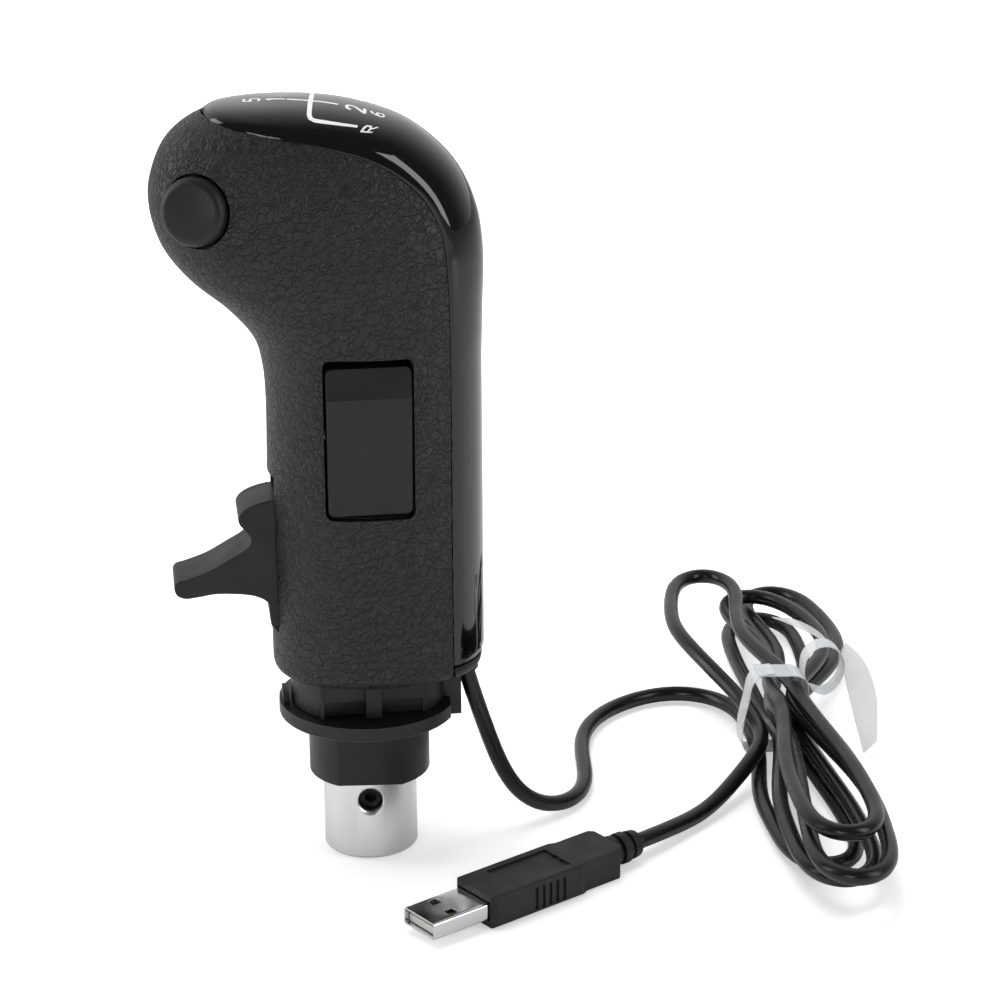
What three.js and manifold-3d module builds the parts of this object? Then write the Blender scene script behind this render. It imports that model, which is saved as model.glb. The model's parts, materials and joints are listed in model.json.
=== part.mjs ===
// A gear lever knob with a USB lead. A moulded grip with a gloss spine cover stands on a plastic core, and
// the core sits on a short aluminium tube that fits over a lever. Millimetres, +Z up, front towards -X. The
// origin is the centre of the tube's lower face, and the sections below follow the knob as it is assembled.
import * as THREE from 'three';
import { mergeVertices } from 'three/addons/utils/BufferGeometryUtils.js';
import Module from 'manifold-3d';

// Clearances between pieces that touch or slide, and the overrun of every cut
const seatGap = 0.3;
const slideGap = 0.4;
const overrun = 6;

// Adapter tube and its set screw
const tubeRadius = 12;
const tubeBoreRadius = 7;
const tubeEdge = 0.5;
const screwHeight = 16;
const screwTurn = -4.8;
const screwRadius = 2.8;
const screwLength = 5;
const screwRecess = 2.8;
const screwSinkRadius = 3.9;
const screwSinkDepth = 0.8;
const screwSocketRadius = 1.5;
const screwSocketDepth = 2.4;

// Lower collar, lock flange and core sleeve
const collarRadius = 15.4;
const collarFoot = 21.2;
const collarTop = 37;
const collarPlate = 4;
const collarFlatHalfWidth = 8;
const collarFlatTop = 34;
const spigotRadius = 9.5;
const spigotLength = 6;
const flangeRadius = 22.7;
const flangeThickness = 3.7;
const flangeFlatReach = 20;
const flangeTabReach = 21.8;
const flangeTabWidth = 7;
const flangeTabRise = 2.6;
const flangeTabThickness = 1.6;
const sleeveRadius = 19.6;
const sleeveFlat = 15;
const sleeveWall = 2.3;
const sleeveFloor = 3.4;
const sleeveShown = 8.8;
const sleeveSunk = 12.2;
const sleeveRibReach = 2;
const sleeveRibHalfWidth = 2;
const sleeveThinRib = 0.9;
const windowEdge = 12.4;
const windowDepth = 4;
const rearBlockProud = 3.6;
const rearBlockWidth = 12;
const rearTongueDrop = 0.6;
const rearBlockShort = 0.8;
const coreScrewCircle = 12.2;
const coreScrewAngle = 40;
const coreScrewHeadRadius = 2.3;
const coreScrewHead = 1.6;
const coreScrewShankRadius = 1.1;
const coreScrewLength = 9;

// Grip: its outline, wall and seam
const gripHeight = 145.4;
const rimRound = 3;
const footCover = 4.1;
const headOverhang = 26.2;
const backReach = 29.4;
const headHalfWidth = 24;
const gripWall = 2.6;
const rimFloor = 2.2;
const coverProud = 0.7;
const coverInset = 1.9;
const bandHeight = 4.2;
const bandProud = 0.15;
const sectionPower = 2.25;
// each level's height, its front as a share of the head's overhang, its back and its half width
const gripLevelShares = [
  [0, 0.0001, 0.986, 0.858],
  [0.12, 0.0039, 0.986, 0.871],
  [0.296, 0.0077, 0.986, 0.888],
  [0.472, -0.0075, 0.986, 0.917],
  [0.549, 0.0191, 0.986, 0.938],
  [0.601, 0.1068, 0.993, 0.954],
  [0.654, 0.3467, 1, 0.975],
  [0.703, 0.6572, 1.01, 0.992],
  [0.752, 0.8667, 1.003, 1],
  [0.801, 0.9695, 0.969, 0.996],
  [0.851, 0.9981, 0.886, 0.971],
  [0.893, 0.9505, 0.762, 0.921],
  [0.932, 0.8553, 0.571, 0.833],
  [0.96, 0.7181, 0.367, 0.717],
  [0.981, 0.5315, 0.095, 0.563],
  [0.994, 0.2972, -0.204, 0.358],
  [1, -0.2189, -0.575, 0.02],
];
// reach (front negative, back positive) and height of the seam, seen from the side
const seamShares = [
  [-0.84, 1.03], [-0.745, 0.99], [-0.641, 0.977], [-0.461, 0.964], [-0.311, 0.955], [-0.148, 0.942],
  [0.027, 0.924], [0.214, 0.904], [0.364, 0.88], [0.497, 0.851], [0.599, 0.814], [0.65, 0.779],
  [0.672, 0.734], [0.684, 0.674], [0.69, 0.594], [0.69, 0.511], [0.687, 0.329], [0.687, 0.13], [0.694, -0.05],
];

// Rocker on the near side
const rockerWidth = 20.4;
const rockerFootInset = 3.7;
const rockerCreaseInset = 0.5;
const rockerTopInset = 2.1;
const rockerBackInset = 8.4;
const rockerPivotInset = 11;
const rockerFloorInset = 16;
const rockerHubRadius = 3.2;
const rockerThrow = 12;
const rockerHouseWall = 1.5;
const pinRadius = 1.5;
const switchSide = 6;
const switchBody = 3.5;
const plungerRadius = 1.2;

// Thumb button on the near side of the head
const thumbYaw = 27.1;
const thumbPitch = 8.6;
const thumbRadius = 8.25;
const thumbHoleRadius = 8.95;
const thumbDome = 3.5;
const thumbShoulder = 1.3;
const thumbFlangeRadius = 9.8;
const thumbFlangeDepth = 5.3;
const thumbFlange = 1.2;
const thumbStemRadius = 1.9;
const thumbStem = 2.3;
const thumbTravel = 2;
const guideWall = 1.5;
const guideFloorDepth = 10.6;
const guideFloor = 1.6;
const springRadius = 4.4;
const springWire = 0.8;
const springTurns = 4;

// Range paddle in the front slot
const paddleWidth = 14.5;
const paddlePivotInset = 6.7;
const paddleHubRadius = 4.6;
const paddleThrow = 8;
const paddleProud = 24.3;
const paddlePinLength = 18.6;

// Inner frame and electronics
const frameSpigot = 6;
const frameDisc = 3;
const framePlate = 3;
const frameFrontInset = 14.7;
const frameBackInset = 14.4;
const frameArmInset = 8.9;
const earThickness = 2.5;
const webThickness = 2.4;
const boardWidth = 20;
const boardFarInset = 13;
const boardThickness = 1.6;
const boardStandOff = 3.4;
const chipSide = 7;
const chipHeight = 1.2;
const jackWidth = 8;
const jackHeight = 5;
const jackLength = 7;
const boardScrewRadius = 1;
const boardScrewHeadRadius = 2;
const boardScrewHead = 1.4;
const boardScrewLength = 4;
const postRadius = 2.6;

// Cord, its outlet and its clamp
const cordDiameter = 4.2;
const outletInset = 4.3;
const outletDepth = -1;
const outletLean = 14.6;
const outletDrop = 3.4;
const grommetLength = 6;
const grommetWall = 0.8;
const clampHeight = 5;
const clampWall = 2;

// Tied bundle: layers, lobes and lanes
const layerPitch = 5;
const waistReach = 118;
const waistSide = 40;
const waistHalfGap = 2.5;
const climbRun = 14;
const laneStep = 5.6;
const laneRun = 60;
const laneStraight = 6;
const tailDrop = 9;
const tailRun = 45;
const floorGap = 0.05;
const bundleSides = 6;
// length, lean at the tip, bow at mid length and half width of each lobe, from the lowest layer up
const nearLobes = [[80, -6, -3, 9.5], [98, -6, -2, 9.5], [107, -5, 2, 9.5], [93, -4, -1, 9]];
const farLobes = [[87, 12, 4, 10], [95, 19, 13, 10], [81, 7, 10, 10], [87, -8, -10, 9.5]];
// stations down each run of a lobe, the share by which it is fully open, and its corners round the tip
const lobeRunShares = [0, 0.17, 0.38, 0.66, 1];
const lobeOpenShare = 0.8;
const lobeTipDegrees = [45, 90, 135];

// Ribbon that ties the bundle: wrap, ring and a hanging flap
const ribbonThickness = 0.6;
const ribbonWidth = 6;
const wrapSlack = 0.9;
const ringRadius = 7;
const ringReach = 11.5;
const ringHeight = 23.5;
const flapReach = 25.4;
const flapTop = 28.4;
const flapNear = 27;
const flapFar = 42;
// reach from the waist and height of the flap's line
const flapShares = [[0.64, 1], [0.81, 0.89], [0.945, 0.7], [1, 0.46], [0.96, 0.21], [0.85, 0.04]];

// Plug on the end of the cord
const plugReach = 6.3;
const plugSide = -56.9;
const plugYaw = 31;
const shellWidth = 12;
const shellHeight = 4.5;
const shellWall = 0.4;
const shellRound = 0.7;
const shellOut = 16.6;
const shellIn = 4;
const shellWindow = 2.6;
const shellWindowBack = 6;
const shellWindowSide = 3.2;
const overmouldLength = 43;
const overmouldWidth = 15.8;
const overmouldHeight = 8.4;
const overmouldNeck = 12.6;
const overmouldNeckShare = 0.72;
const overmouldFootShare = 0.65;
const overmouldRound = 1.2;
const overmouldPanel = 0.5;
const overmouldRib = 1.1;
const overmouldRibShare = 0.3;
const tongueWidth = 10.5;
const tongueThickness = 1.9;
const tongueSet = 1.2;
const contactWidth = 1.1;
const contactThickness = 0.25;
const contactSpacing = 2.3;
const reliefLength = 9;
const reliefRadius = 4.1;
const reliefGroove = 1.1;
const reliefGrooveDepth = 1.2;

// Heights of the pieces in the grip, as shares of its height from rim to crown
const riseShares = {
  rockerFoot: 0.32187,
  rockerTop: 0.58184,
  rockerCrease: 0.53095,
  rockerPivot: 0.45186,
  rockerHouseFoot: 0.31293,
  rockerHouseTop: 0.5956,
  thumb: 0.84801,
  paddlePivot: 0.22146,
  paddleHead: 0.32462,
  paddleFoot: 0.09422,
  paddleSlotFoot: 0.08391,
  paddleSlotTop: 0.36589,
  frameTop: 0.86795,
  frameArmFoot: 0.77166,
  frameArmTop: 0.89546,
  earFoot: 0.13893,
  earTop: 0.29917,
  boardFoot: 0.15268,
  boardTop: 0.68913,
};
// reach and depth of the thumb button, as shares of the head's reach and half width
const thumbShares = [0.79158, 0.72083];

// points of the cord inside the handle, as shares of its back reach, the way to the jack and its height
const cordRunShares = [
  [0.7619, 0, 0.053], [0.7585, 0, 0.1045], [0.7585, 0, 0.1486], [0.7517, 0.1216, 0.1829],
  [0.7109, 0.4865, 0.2105], [0.6054, 0.8378, 0.2263], [0.4558, 1, 0.2311], [0.3265, 1.0068, 0.2311],
  [0.2041, 1.0068, 0.2311],
];

// Places that follow from the sizes above
const tubeLength = collarTop - collarPlate - seatGap;
const flangeFoot = collarTop + seatGap;
const flangeTop = flangeFoot + flangeThickness;
const rimHeight = flangeTop + sleeveShown;
const crownHeight = rimHeight + gripHeight;
const sleeveTop = rimHeight + sleeveSunk;
const bandTop = rimHeight + bandHeight;
const gripFront = sleeveRadius + footCover;
const headReach = gripFront + headOverhang;
const rearBlockReach = sleeveRadius + rearBlockProud;
const rockerFloorDepth = headHalfWidth - rockerFloorInset;
const rockerBackDepth = headHalfWidth - rockerBackInset;
const rockerPivotDepth = headHalfWidth - rockerPivotInset;
const frameFront = frameFrontInset - gripFront;
const frameBack = backReach - frameBackInset;
const frameArmReach = frameArmInset - headReach;
const boardFar = headHalfWidth - boardFarInset;
const boardNear = boardFar - boardThickness;
const framePlateNear = boardNear - boardStandOff - framePlate;
const outletReach = backReach - outletInset;
const outletFoot = rimHeight - outletDrop;

function riseTo(share) {
  return rimHeight + share * gripHeight;
}

const rockerFoot = riseTo(riseShares.rockerFoot);
const rockerTop = riseTo(riseShares.rockerTop);
const rockerCrease = riseTo(riseShares.rockerCrease);
const rockerPivotHeight = riseTo(riseShares.rockerPivot);
const rockerHouseFoot = riseTo(riseShares.rockerHouseFoot);
const rockerHouseTop = riseTo(riseShares.rockerHouseTop);
const paddlePivotReach = paddlePivotInset - gripFront;
const paddlePivotHeight = riseTo(riseShares.paddlePivot);
const paddleReach = gripFront + paddleProud;
const paddleHead = riseTo(riseShares.paddleHead);
const paddleFoot = riseTo(riseShares.paddleFoot);
const frameArmFoot = riseTo(riseShares.frameArmFoot);
const frameArmTop = riseTo(riseShares.frameArmTop);
const earFoot = riseTo(riseShares.earFoot);
const earTop = riseTo(riseShares.earTop);
const boardFoot = riseTo(riseShares.boardFoot);
const boardTop = riseTo(riseShares.boardTop);

// Facets of round pieces
const roundSides = 40;
const smallSides = 20;
const socketSides = 6;
const cordSides = 8;
const springSides = 5;
const springSteps = 8;
const buttonSides = 32;
const cornerFacets = 3;
const gripColumns = 36;
const gripRows = 26;
const innerColumns = 24;
const innerRows = 16;

const wasm = await Module();
wasm.setup();

// A closed geometry as a solid: only its positions are kept, and shared vertices are merged
function solid(geometry) {
  const bare = new THREE.BufferGeometry();
  bare.setAttribute('position', geometry.getAttribute('position').clone());
  if (geometry.index) bare.setIndex(geometry.index.clone());
  const merged = mergeVertices(bare);
  return new wasm.Manifold(new wasm.Mesh({
    numProp: 3,
    vertProperties: new Float32Array(merged.getAttribute('position').array),
    triVerts: new Uint32Array(merged.index.array),
  }));
}

function fuse(...pieces) {
  return pieces.reduce((whole, piece) => whole.add(piece));
}

function cut(whole, ...tools) {
  return tools.reduce((rest, tool) => rest.subtract(tool), whole);
}

function common(...pieces) {
  return pieces.reduce((shared, piece) => shared.intersect(piece));
}

function geometryOf(piece) {
  const mesh = piece.getMesh();
  const geometry = new THREE.BufferGeometry();
  geometry.setAttribute('position', new THREE.BufferAttribute(Float32Array.from(mesh.vertProperties), 3));
  geometry.setIndex(Array.from(mesh.triVerts));
  geometry.computeVertexNormals();
  return geometry;
}

// A round bar along Z from low to high, its radius may change
function bar(radius, low, high, sides = smallSides, topRadius = radius) {
  const geometry = new THREE.CylinderGeometry(topRadius, radius, high - low, sides);
  geometry.rotateX(Math.PI / 2);
  geometry.translate(0, 0, (low + high) / 2);
  return geometry;
}

function block(xs, ys, zs) {
  const geometry = new THREE.BoxGeometry(xs[1] - xs[0], ys[1] - ys[0], zs[1] - zs[0]);
  geometry.translate((xs[0] + xs[1]) / 2, (ys[0] + ys[1]) / 2, (zs[0] + zs[1]) / 2);
  return geometry;
}

// A closed profile of [radius, height] points turned about Z
function turned(profile, sides = roundSides) {
  const points = [...profile, profile[0]].map(([radius, height]) => new THREE.Vector2(radius, height));
  const geometry = new THREE.LatheGeometry(points, sides);
  geometry.rotateX(Math.PI / 2);
  return geometry;
}

function shapeOf(points) {
  return new THREE.Shape(points.map(([x, y]) => new THREE.Vector2(x, y)));
}

// An outline in the XZ plane given a thickness across Y
function sideSlab(points, near, far) {
  const geometry = new THREE.ExtrudeGeometry(shapeOf(points), { depth: far - near, bevelEnabled: false });
  geometry.rotateX(Math.PI / 2);
  geometry.translate(0, far, 0);
  return geometry;
}

// An outline in the XY plane given a height along Z
function plate(points, low, high) {
  const geometry = new THREE.ExtrudeGeometry(shapeOf(points), { depth: high - low, bevelEnabled: false });
  geometry.translate(0, 0, low);
  return geometry;
}

function radians(degrees) {
  return THREE.MathUtils.degToRad(degrees);
}

function smooth(share) {
  return THREE.MathUtils.smoothstep(share, 0, 1);
}

// Materials
function finish(color, roughness, metalness = 0) {
  return new THREE.MeshStandardMaterial({ color, roughness, metalness });
}

const part = new THREE.Group();

function place(name, piece, material, group = part) {
  const mesh = new THREE.Mesh(piece instanceof THREE.BufferGeometry ? piece : geometryOf(piece), material);
  mesh.name = name;
  group.add(mesh);
  return mesh;
}

// Adapter tube: a turned aluminium sleeve with a tapped hole at the front for the set screw
const screwAxisTurn = radians(screwTurn);

function towardsFront(geometry) {
  geometry.rotateX(Math.PI / 2);
  geometry.translate(0, 0, screwHeight);
  geometry.rotateZ(screwAxisTurn);
  return geometry;
}

const tubeProfile = [
  [tubeBoreRadius, tubeEdge], [tubeBoreRadius + tubeEdge, 0], [tubeRadius - tubeEdge, 0],
  [tubeRadius, tubeEdge], [tubeRadius, tubeLength], [tubeBoreRadius, tubeLength],
];
const screwHole = towardsFront(bar(screwRadius + seatGap, 0, tubeRadius + overrun));
const screwSinkBottom = tubeRadius - screwSinkDepth;
const screwSink = towardsFront(bar(screwRadius + seatGap, screwSinkBottom, tubeRadius, smallSides,
  screwSinkRadius));
const screwSinkMouth = towardsFront(bar(screwSinkRadius, tubeRadius, tubeRadius + overrun));
place('adapter_tube', cut(solid(turned(tubeProfile)), solid(screwHole), solid(screwSink),
  solid(screwSinkMouth)), finish(0xc9cbce, 0.32, 1));

const screwOuter = tubeRadius - screwRecess;
const screwBody = towardsFront(bar(screwRadius, screwOuter - screwLength, screwOuter));
const screwSocket = towardsFront(bar(screwSocketRadius, screwOuter - screwSocketDepth, screwOuter + overrun,
  socketSides));
place('set_screw', cut(solid(screwBody), solid(screwSocket)), finish(0x161616, 0.45, 1));

// Lower collar: a moulded cup over the tube's upper end, with a flat at the front and a spigot on top
const collarFlat = Math.sqrt(collarRadius ** 2 - collarFlatHalfWidth ** 2);
const collarProfile = [
  [tubeRadius + seatGap, collarFoot], [collarRadius, collarFoot], [collarRadius, collarTop],
  [spigotRadius, collarTop], [spigotRadius, collarTop + spigotLength],
  [tubeBoreRadius + seatGap, collarTop + spigotLength], [tubeBoreRadius + seatGap, collarTop - collarPlate],
  [tubeRadius + seatGap, collarTop - collarPlate],
];
const collarFlatCut = block([-collarRadius, collarRadius], [-collarRadius - overrun, -collarFlat],
  [collarFoot - overrun, collarFlatTop]);
collarFlatCut.rotateZ(screwAxisTurn);

const sleeveFoot = flangeTop + seatGap;
const coreScrewSeat = sleeveFoot + sleeveFloor;

// The two core screws stand on opposite sides of the lever bore
function atCoreScrews(makeOne) {
  return [coreScrewAngle, coreScrewAngle + 180].map((angle) => {
    const geometry = makeOne();
    geometry.translate(coreScrewCircle, 0, 0);
    geometry.rotateZ(radians(angle));
    return geometry;
  });
}

const coreScrewHoles = atCoreScrews(
  () => bar(coreScrewShankRadius + seatGap, coreScrewSeat - coreScrewLength - seatGap,
    coreScrewSeat + overrun),
).map(solid);
place('lower_collar', cut(solid(turned(collarProfile)), solid(collarFlatCut), ...coreScrewHoles),
  finish(0x1b1b1c, 0.42));

// Lock flange: a round plate under the sleeve, flat at the back, with a small tab at the front
const flangeProfile = [
  [spigotRadius + seatGap, flangeFoot], [flangeRadius - seatGap, flangeFoot],
  [flangeRadius, flangeFoot + seatGap],
  [flangeRadius, flangeTop], [spigotRadius + seatGap, flangeTop],
];
const flangeFlatCut = block([flangeFlatReach, flangeRadius + overrun], [-flangeRadius, flangeRadius],
  [flangeFoot - overrun, flangeTop + overrun]);
const flangeTab = block([-flangeTabReach, -flangeTabReach + flangeTabThickness],
  [-flangeTabWidth / 2, flangeTabWidth / 2], [flangeFoot + flangeThickness / 2, flangeTop + flangeTabRise]);
place('lock_flange', cut(fuse(solid(turned(flangeProfile)), solid(flangeTab)), solid(flangeFlatCut),
  ...coreScrewHoles), finish(0x1a1a1b, 0.5));

// Core sleeve: a round core with a flat near and far side, ribs, windows over the flange and a rear block
function flattedBar(radius, flat, low, high) {
  const cross = block([-radius, radius], [-flat, flat], [low - overrun, high + overrun]);
  return common(solid(bar(radius, low, high, roundSides)), solid(cross));
}

const sleeveInner = sleeveRadius - sleeveWall;
const sleeveInnerFlat = sleeveFlat - sleeveWall;
const windowTop = sleeveFoot + windowDepth;
const sleeveRibs = [1, -1].flatMap((side) => [
  block([-sleeveRibHalfWidth, sleeveRibHalfWidth], [-sleeveRibReach / 2, sleeveRibReach].map((reach) =>
    side * (sleeveFlat + reach)).sort((a, b) => a - b), [sleeveFoot, rimHeight + rimFloor]),
  block([-windowEdge - sleeveThinRib, -windowEdge], [-sleeveThinRib, sleeveThinRib].map((reach) =>
    side * (sleeveFlat + reach)).sort((a, b) => a - b), [sleeveFoot, rimHeight + rimFloor]),
]).map(solid);
const sleeveWindows = [1, -1].flatMap((side) => [1, -1].map((end) => block(
  [end * sleeveRibHalfWidth, end * windowEdge].sort((a, b) => a - b),
  [side * (sleeveFlat - sleeveWall / 2), side * (sleeveFlat + overrun)].sort((a, b) => a - b),
  [sleeveFoot - overrun, windowTop],
))).map(solid);
const sleeveRearBlock = block([sleeveRadius - sleeveWall, rearBlockReach],
  [-rearBlockWidth / 2, rearBlockWidth / 2], [sleeveFoot, rimHeight - rearBlockShort]);
const sleeveRearTongue = block([flangeFlatReach + seatGap, rearBlockReach],
  [-rearBlockWidth / 2, rearBlockWidth / 2], [collarTop - rearTongueDrop, sleeveFoot + windowDepth]);
const sleeveBore = bar(spigotRadius + seatGap, sleeveFoot - overrun, sleeveTop, roundSides);
const coreSleeve = cut(
  fuse(flattedBar(sleeveRadius, sleeveFlat, sleeveFoot, sleeveTop), ...sleeveRibs, solid(sleeveRearBlock),
    solid(sleeveRearTongue)),
  flattedBar(sleeveInner, sleeveInnerFlat, sleeveFoot + sleeveFloor, sleeveTop + overrun),
  solid(sleeveBore), ...sleeveWindows, ...coreScrewHoles,
);
['left', 'right'].forEach((side, index) => {
  const head = atCoreScrews(() => bar(coreScrewHeadRadius, coreScrewSeat + seatGap,
    coreScrewSeat + seatGap + coreScrewHead))[index];
  const shank = atCoreScrews(() => bar(coreScrewShankRadius, coreScrewSeat - coreScrewLength,
    coreScrewSeat + seatGap + coreScrewHead / 2))[index];
  place(`core_screw_${side}`, fuse(solid(head), solid(shank)), finish(0x9a9c9f, 0.35, 1));
});

// Grip body: superellipse sections between spline curves, pushed in or out along the surface normal
const sectionFoot = rimHeight + rimRound;
const levelCurves = [1, 2, 3].map((column) => new THREE.SplineCurve(
  gripLevelShares.map((level) => new THREE.Vector2(level[0], level[column])),
));

function gripPoint(level, turn) {
  const [front, back, half] = levelCurves.map((curve) => curve.getPoint(level));
  const ahead = gripFront + front.y * headOverhang;
  const centre = (back.y * backReach - ahead) / 2;
  const reach = (back.y * backReach + ahead) / 2;
  const across = Math.sign(Math.cos(turn)) * Math.abs(Math.cos(turn)) ** (2 / sectionPower);
  const along = Math.sign(Math.sin(turn)) * Math.abs(Math.sin(turn)) ** (2 / sectionPower);
  return new THREE.Vector3(centre + reach * across, half.y * headHalfWidth * along,
    sectionFoot + front.x * (crownHeight - sectionFoot));
}

function gripNormal(level, turn) {
  const step = 1e-3;
  const low = Math.max(level - step, 0);
  const high = Math.min(level + step, 1 - step);
  const rise = gripPoint(high, turn).sub(gripPoint(low, turn));
  const sweep = gripPoint(Math.min(level, 1 - step), turn + step)
    .sub(gripPoint(Math.min(level, 1 - step), turn - step));
  return sweep.cross(rise).normalize();
}

// A closed loft: rings of points from the foot up, flat below and closed by one point on the crown
function loft(rings) {
  const columns = rings[0].length;
  const foot = rings[0].reduce((sum, point) => sum.add(point), new THREE.Vector3()).divideScalar(columns);
  const last = rings[rings.length - 1];
  const crown = last.reduce((sum, point) => sum.add(point), new THREE.Vector3()).divideScalar(columns);
  const points = [...rings.flat(), foot, crown];
  const faces = [];
  rings.forEach((ring, row) => ring.forEach((point, column) => {
    const next = (column + 1) % columns;
    const here = row * columns;
    if (row === 0) faces.push(next, column, points.length - 2);
    if (row === rings.length - 1) faces.push(here + column, here + next, points.length - 1);
    else {
      const above = here + columns;
      faces.push(here + column, here + next, above + next, here + column, above + next, above + column);
    }
  }));
  const geometry = new THREE.BufferGeometry().setFromPoints(points);
  geometry.setIndex(faces);
  return geometry;
}

function gripRing(level, columns, offset) {
  return Array.from({ length: columns }, (_, column) => {
    const turn = 2 * Math.PI * column / columns;
    return gripPoint(level, turn).addScaledVector(gripNormal(level, turn), offset);
  });
}

// More rows lie near the crown, where the surface turns over
function rowLevel(row, rows) {
  return 1 - (1 - row / rows) ** 1.25;
}

// Outside of the grip, with a rounded lower rim
function gripOutside(offset) {
  const rimRows = 3;
  const foot = gripRing(0, gripColumns, offset);
  const centre = foot.reduce((sum, point) => sum.add(point), new THREE.Vector3()).divideScalar(gripColumns);
  const rim = Array.from({ length: rimRows }, (_, row) => {
    const bend = Math.PI / 2 * (row / rimRows);
    const inset = rimRound * (1 - Math.sin(bend));
    return foot.map((point) => {
      const out = point.clone().sub(centre).setZ(0);
      const moved = point.clone().addScaledVector(out.clone().normalize(), -inset);
      return moved.setZ(sectionFoot - rimRound * Math.cos(bend));
    });
  });
  const rings = Array.from({ length: gripRows }, (_, row) =>
    gripRing(rowLevel(row, gripRows), gripColumns, offset));
  return solid(loft([...rim, ...rings]));
}

// Inside of the grip at a depth below its surface, starting from a floor height
function gripInside(depth, floor) {
  const rings = Array.from({ length: innerRows }, (_, row) =>
    gripRing(rowLevel(row, innerRows), innerColumns, -depth));
  const foot = rings[0].map((point) => point.clone().setZ(floor));
  const lifted = rings.filter((ring) => ring[0].z > floor + rimRound);
  return solid(loft([foot, ...lifted]));
}

// Seam: the side view of the line where shell and cover meet, moved sideways for the gap
function seamPoint([reachShare, heightShare]) {
  const reach = reachShare < 0 ? reachShare * headReach : reachShare * backReach;
  return new THREE.Vector2(reach, rimHeight + heightShare * gripHeight);
}

const seamCurve = new THREE.SplineCurve(seamShares.map(seamPoint));

function behindSeam(shift) {
  const count = 40;
  const line = Array.from({ length: count + 1 }, (_, index) => {
    const at = index / count;
    const tangent = seamCurve.getTangent(at);
    const point = seamCurve.getPoint(at);
    return [point.x - tangent.y * shift, point.y + tangent.x * shift];
  });
  const far = backReach + 2 * overrun;
  const high = crownHeight + 2 * overrun;
  const outline = [...line, [far, line[count][1]], [far, high], [line[0][0], high]];
  return solid(sideSlab(outline, -headHalfWidth - overrun, headHalfWidth + overrun));
}

const outside = gripOutside(0);
const inside = gripInside(gripWall, rimHeight + rimFloor);
const fitInside = gripInside(gripWall + seatGap, rimHeight + rimFloor + seatGap);
const shellBehind = behindSeam(-seatGap / 2);
const coverBehind = behindSeam(seatGap / 2);

// Holes through the grip: the sleeve's, the cord outlet, the rocker's, the paddle's slot and the button's
const sleeveHole = fuse(
  flattedBar(sleeveRadius + seatGap, sleeveFlat + seatGap, rimHeight - overrun, sleeveTop + seatGap),
  ...[1, -1].flatMap((side) => [
    block([-sleeveRibHalfWidth - seatGap, sleeveRibHalfWidth + seatGap],
      [side * sleeveFlat / 2, side * (sleeveFlat + sleeveRibReach + seatGap)].sort((a, b) => a - b),
      [rimHeight - overrun, sleeveTop + seatGap]),
    block([-windowEdge - sleeveThinRib - seatGap, -windowEdge + seatGap],
      [side * sleeveFlat / 2, side * (sleeveFlat + sleeveThinRib + seatGap)].sort((a, b) => a - b),
      [rimHeight - overrun, sleeveTop + seatGap]),
  ]).map(solid),
);

// The cord leaves leaning back, so its outlet, grommet and first stretch share this axis
const outletAxis = new THREE.Vector3(-Math.sin(radians(outletLean)), 0, Math.cos(radians(outletLean)));
const outletPoint = new THREE.Vector3(outletReach, outletDepth, outletFoot);

function alongOutlet(geometry) {
  geometry.rotateY(-radians(outletLean));
  geometry.translate(outletPoint.x, outletPoint.y, outletPoint.z);
  return geometry;
}

const grommetBore = cordDiameter / 2 + slideGap;
const grommetRadius = grommetBore + grommetWall;
const outletHole = solid(alongOutlet(bar(grommetRadius + seatGap, -overrun, grommetLength + cordDiameter)));
place('core_sleeve', cut(coreSleeve, outletHole), finish(0x1c1c1d, 0.45));

const rockerHalf = rockerWidth / 2 + slideGap;
const rockerOpening = solid(block([-rockerHalf, rockerHalf], [-headHalfWidth - overrun, -rockerFloorDepth],
  [rockerHouseFoot, rockerHouseTop]));

const paddleHalf = paddleWidth / 2;
const slotHalf = paddleHalf + slideGap;
const paddleSlot = solid(block([-headReach, frameFront], [-slotHalf, slotHalf],
  [riseTo(riseShares.paddleSlotFoot), riseTo(riseShares.paddleSlotTop)]));

// The button's axis points out of the head, towards the near side and the front
function alongThumb(geometry) {
  geometry.rotateX(Math.PI / 2 - radians(thumbPitch));
  geometry.rotateZ(-radians(thumbYaw));
  geometry.translate(-thumbShares[0] * headReach, -thumbShares[1] * headHalfWidth, riseTo(riseShares.thumb));
  return geometry;
}

const thumbHole = solid(alongThumb(bar(thumbHoleRadius, -guideFloorDepth, overrun, roundSides)));
const thumbFlangeRoom = solid(alongThumb(bar(thumbFlangeRadius + slideGap, -guideFloorDepth,
  seatGap - thumbFlangeDepth, roundSides)));

place('grip_shell', cut(outside, inside, shellBehind, sleeveHole, outletHole, rockerOpening, paddleSlot,
  thumbHole, thumbFlangeRoom), finish(0x1d1d1e, 0.72));

// Spine cover: gloss skin over the crown and down the back, a little proud of the shell
const aboveBand = solid(block([-headReach - overrun, backReach + overrun],
  [-headHalfWidth - overrun, headHalfWidth + overrun], [bandTop, crownHeight + overrun]));
const coverInside = gripInside(coverInset, rimHeight - overrun);
place('spine_cover', cut(common(gripOutside(coverProud), coverBehind, aboveBand), coverInside, outletHole),
  finish(0x0c0c0d, 0.12));

// Rear band: closes the back below the gloss cover, and half of the cord outlet is cut in it
const belowCover = solid(block([0, backReach + overrun], [-headHalfWidth - overrun, headHalfWidth + overrun],
  [rimHeight - overrun, bandTop - seatGap]));
place('rear_band', cut(common(gripOutside(bandProud), coverBehind, belowCover), inside, sleeveHole,
  outletHole), finish(0x1a1a1b, 0.4));

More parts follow.
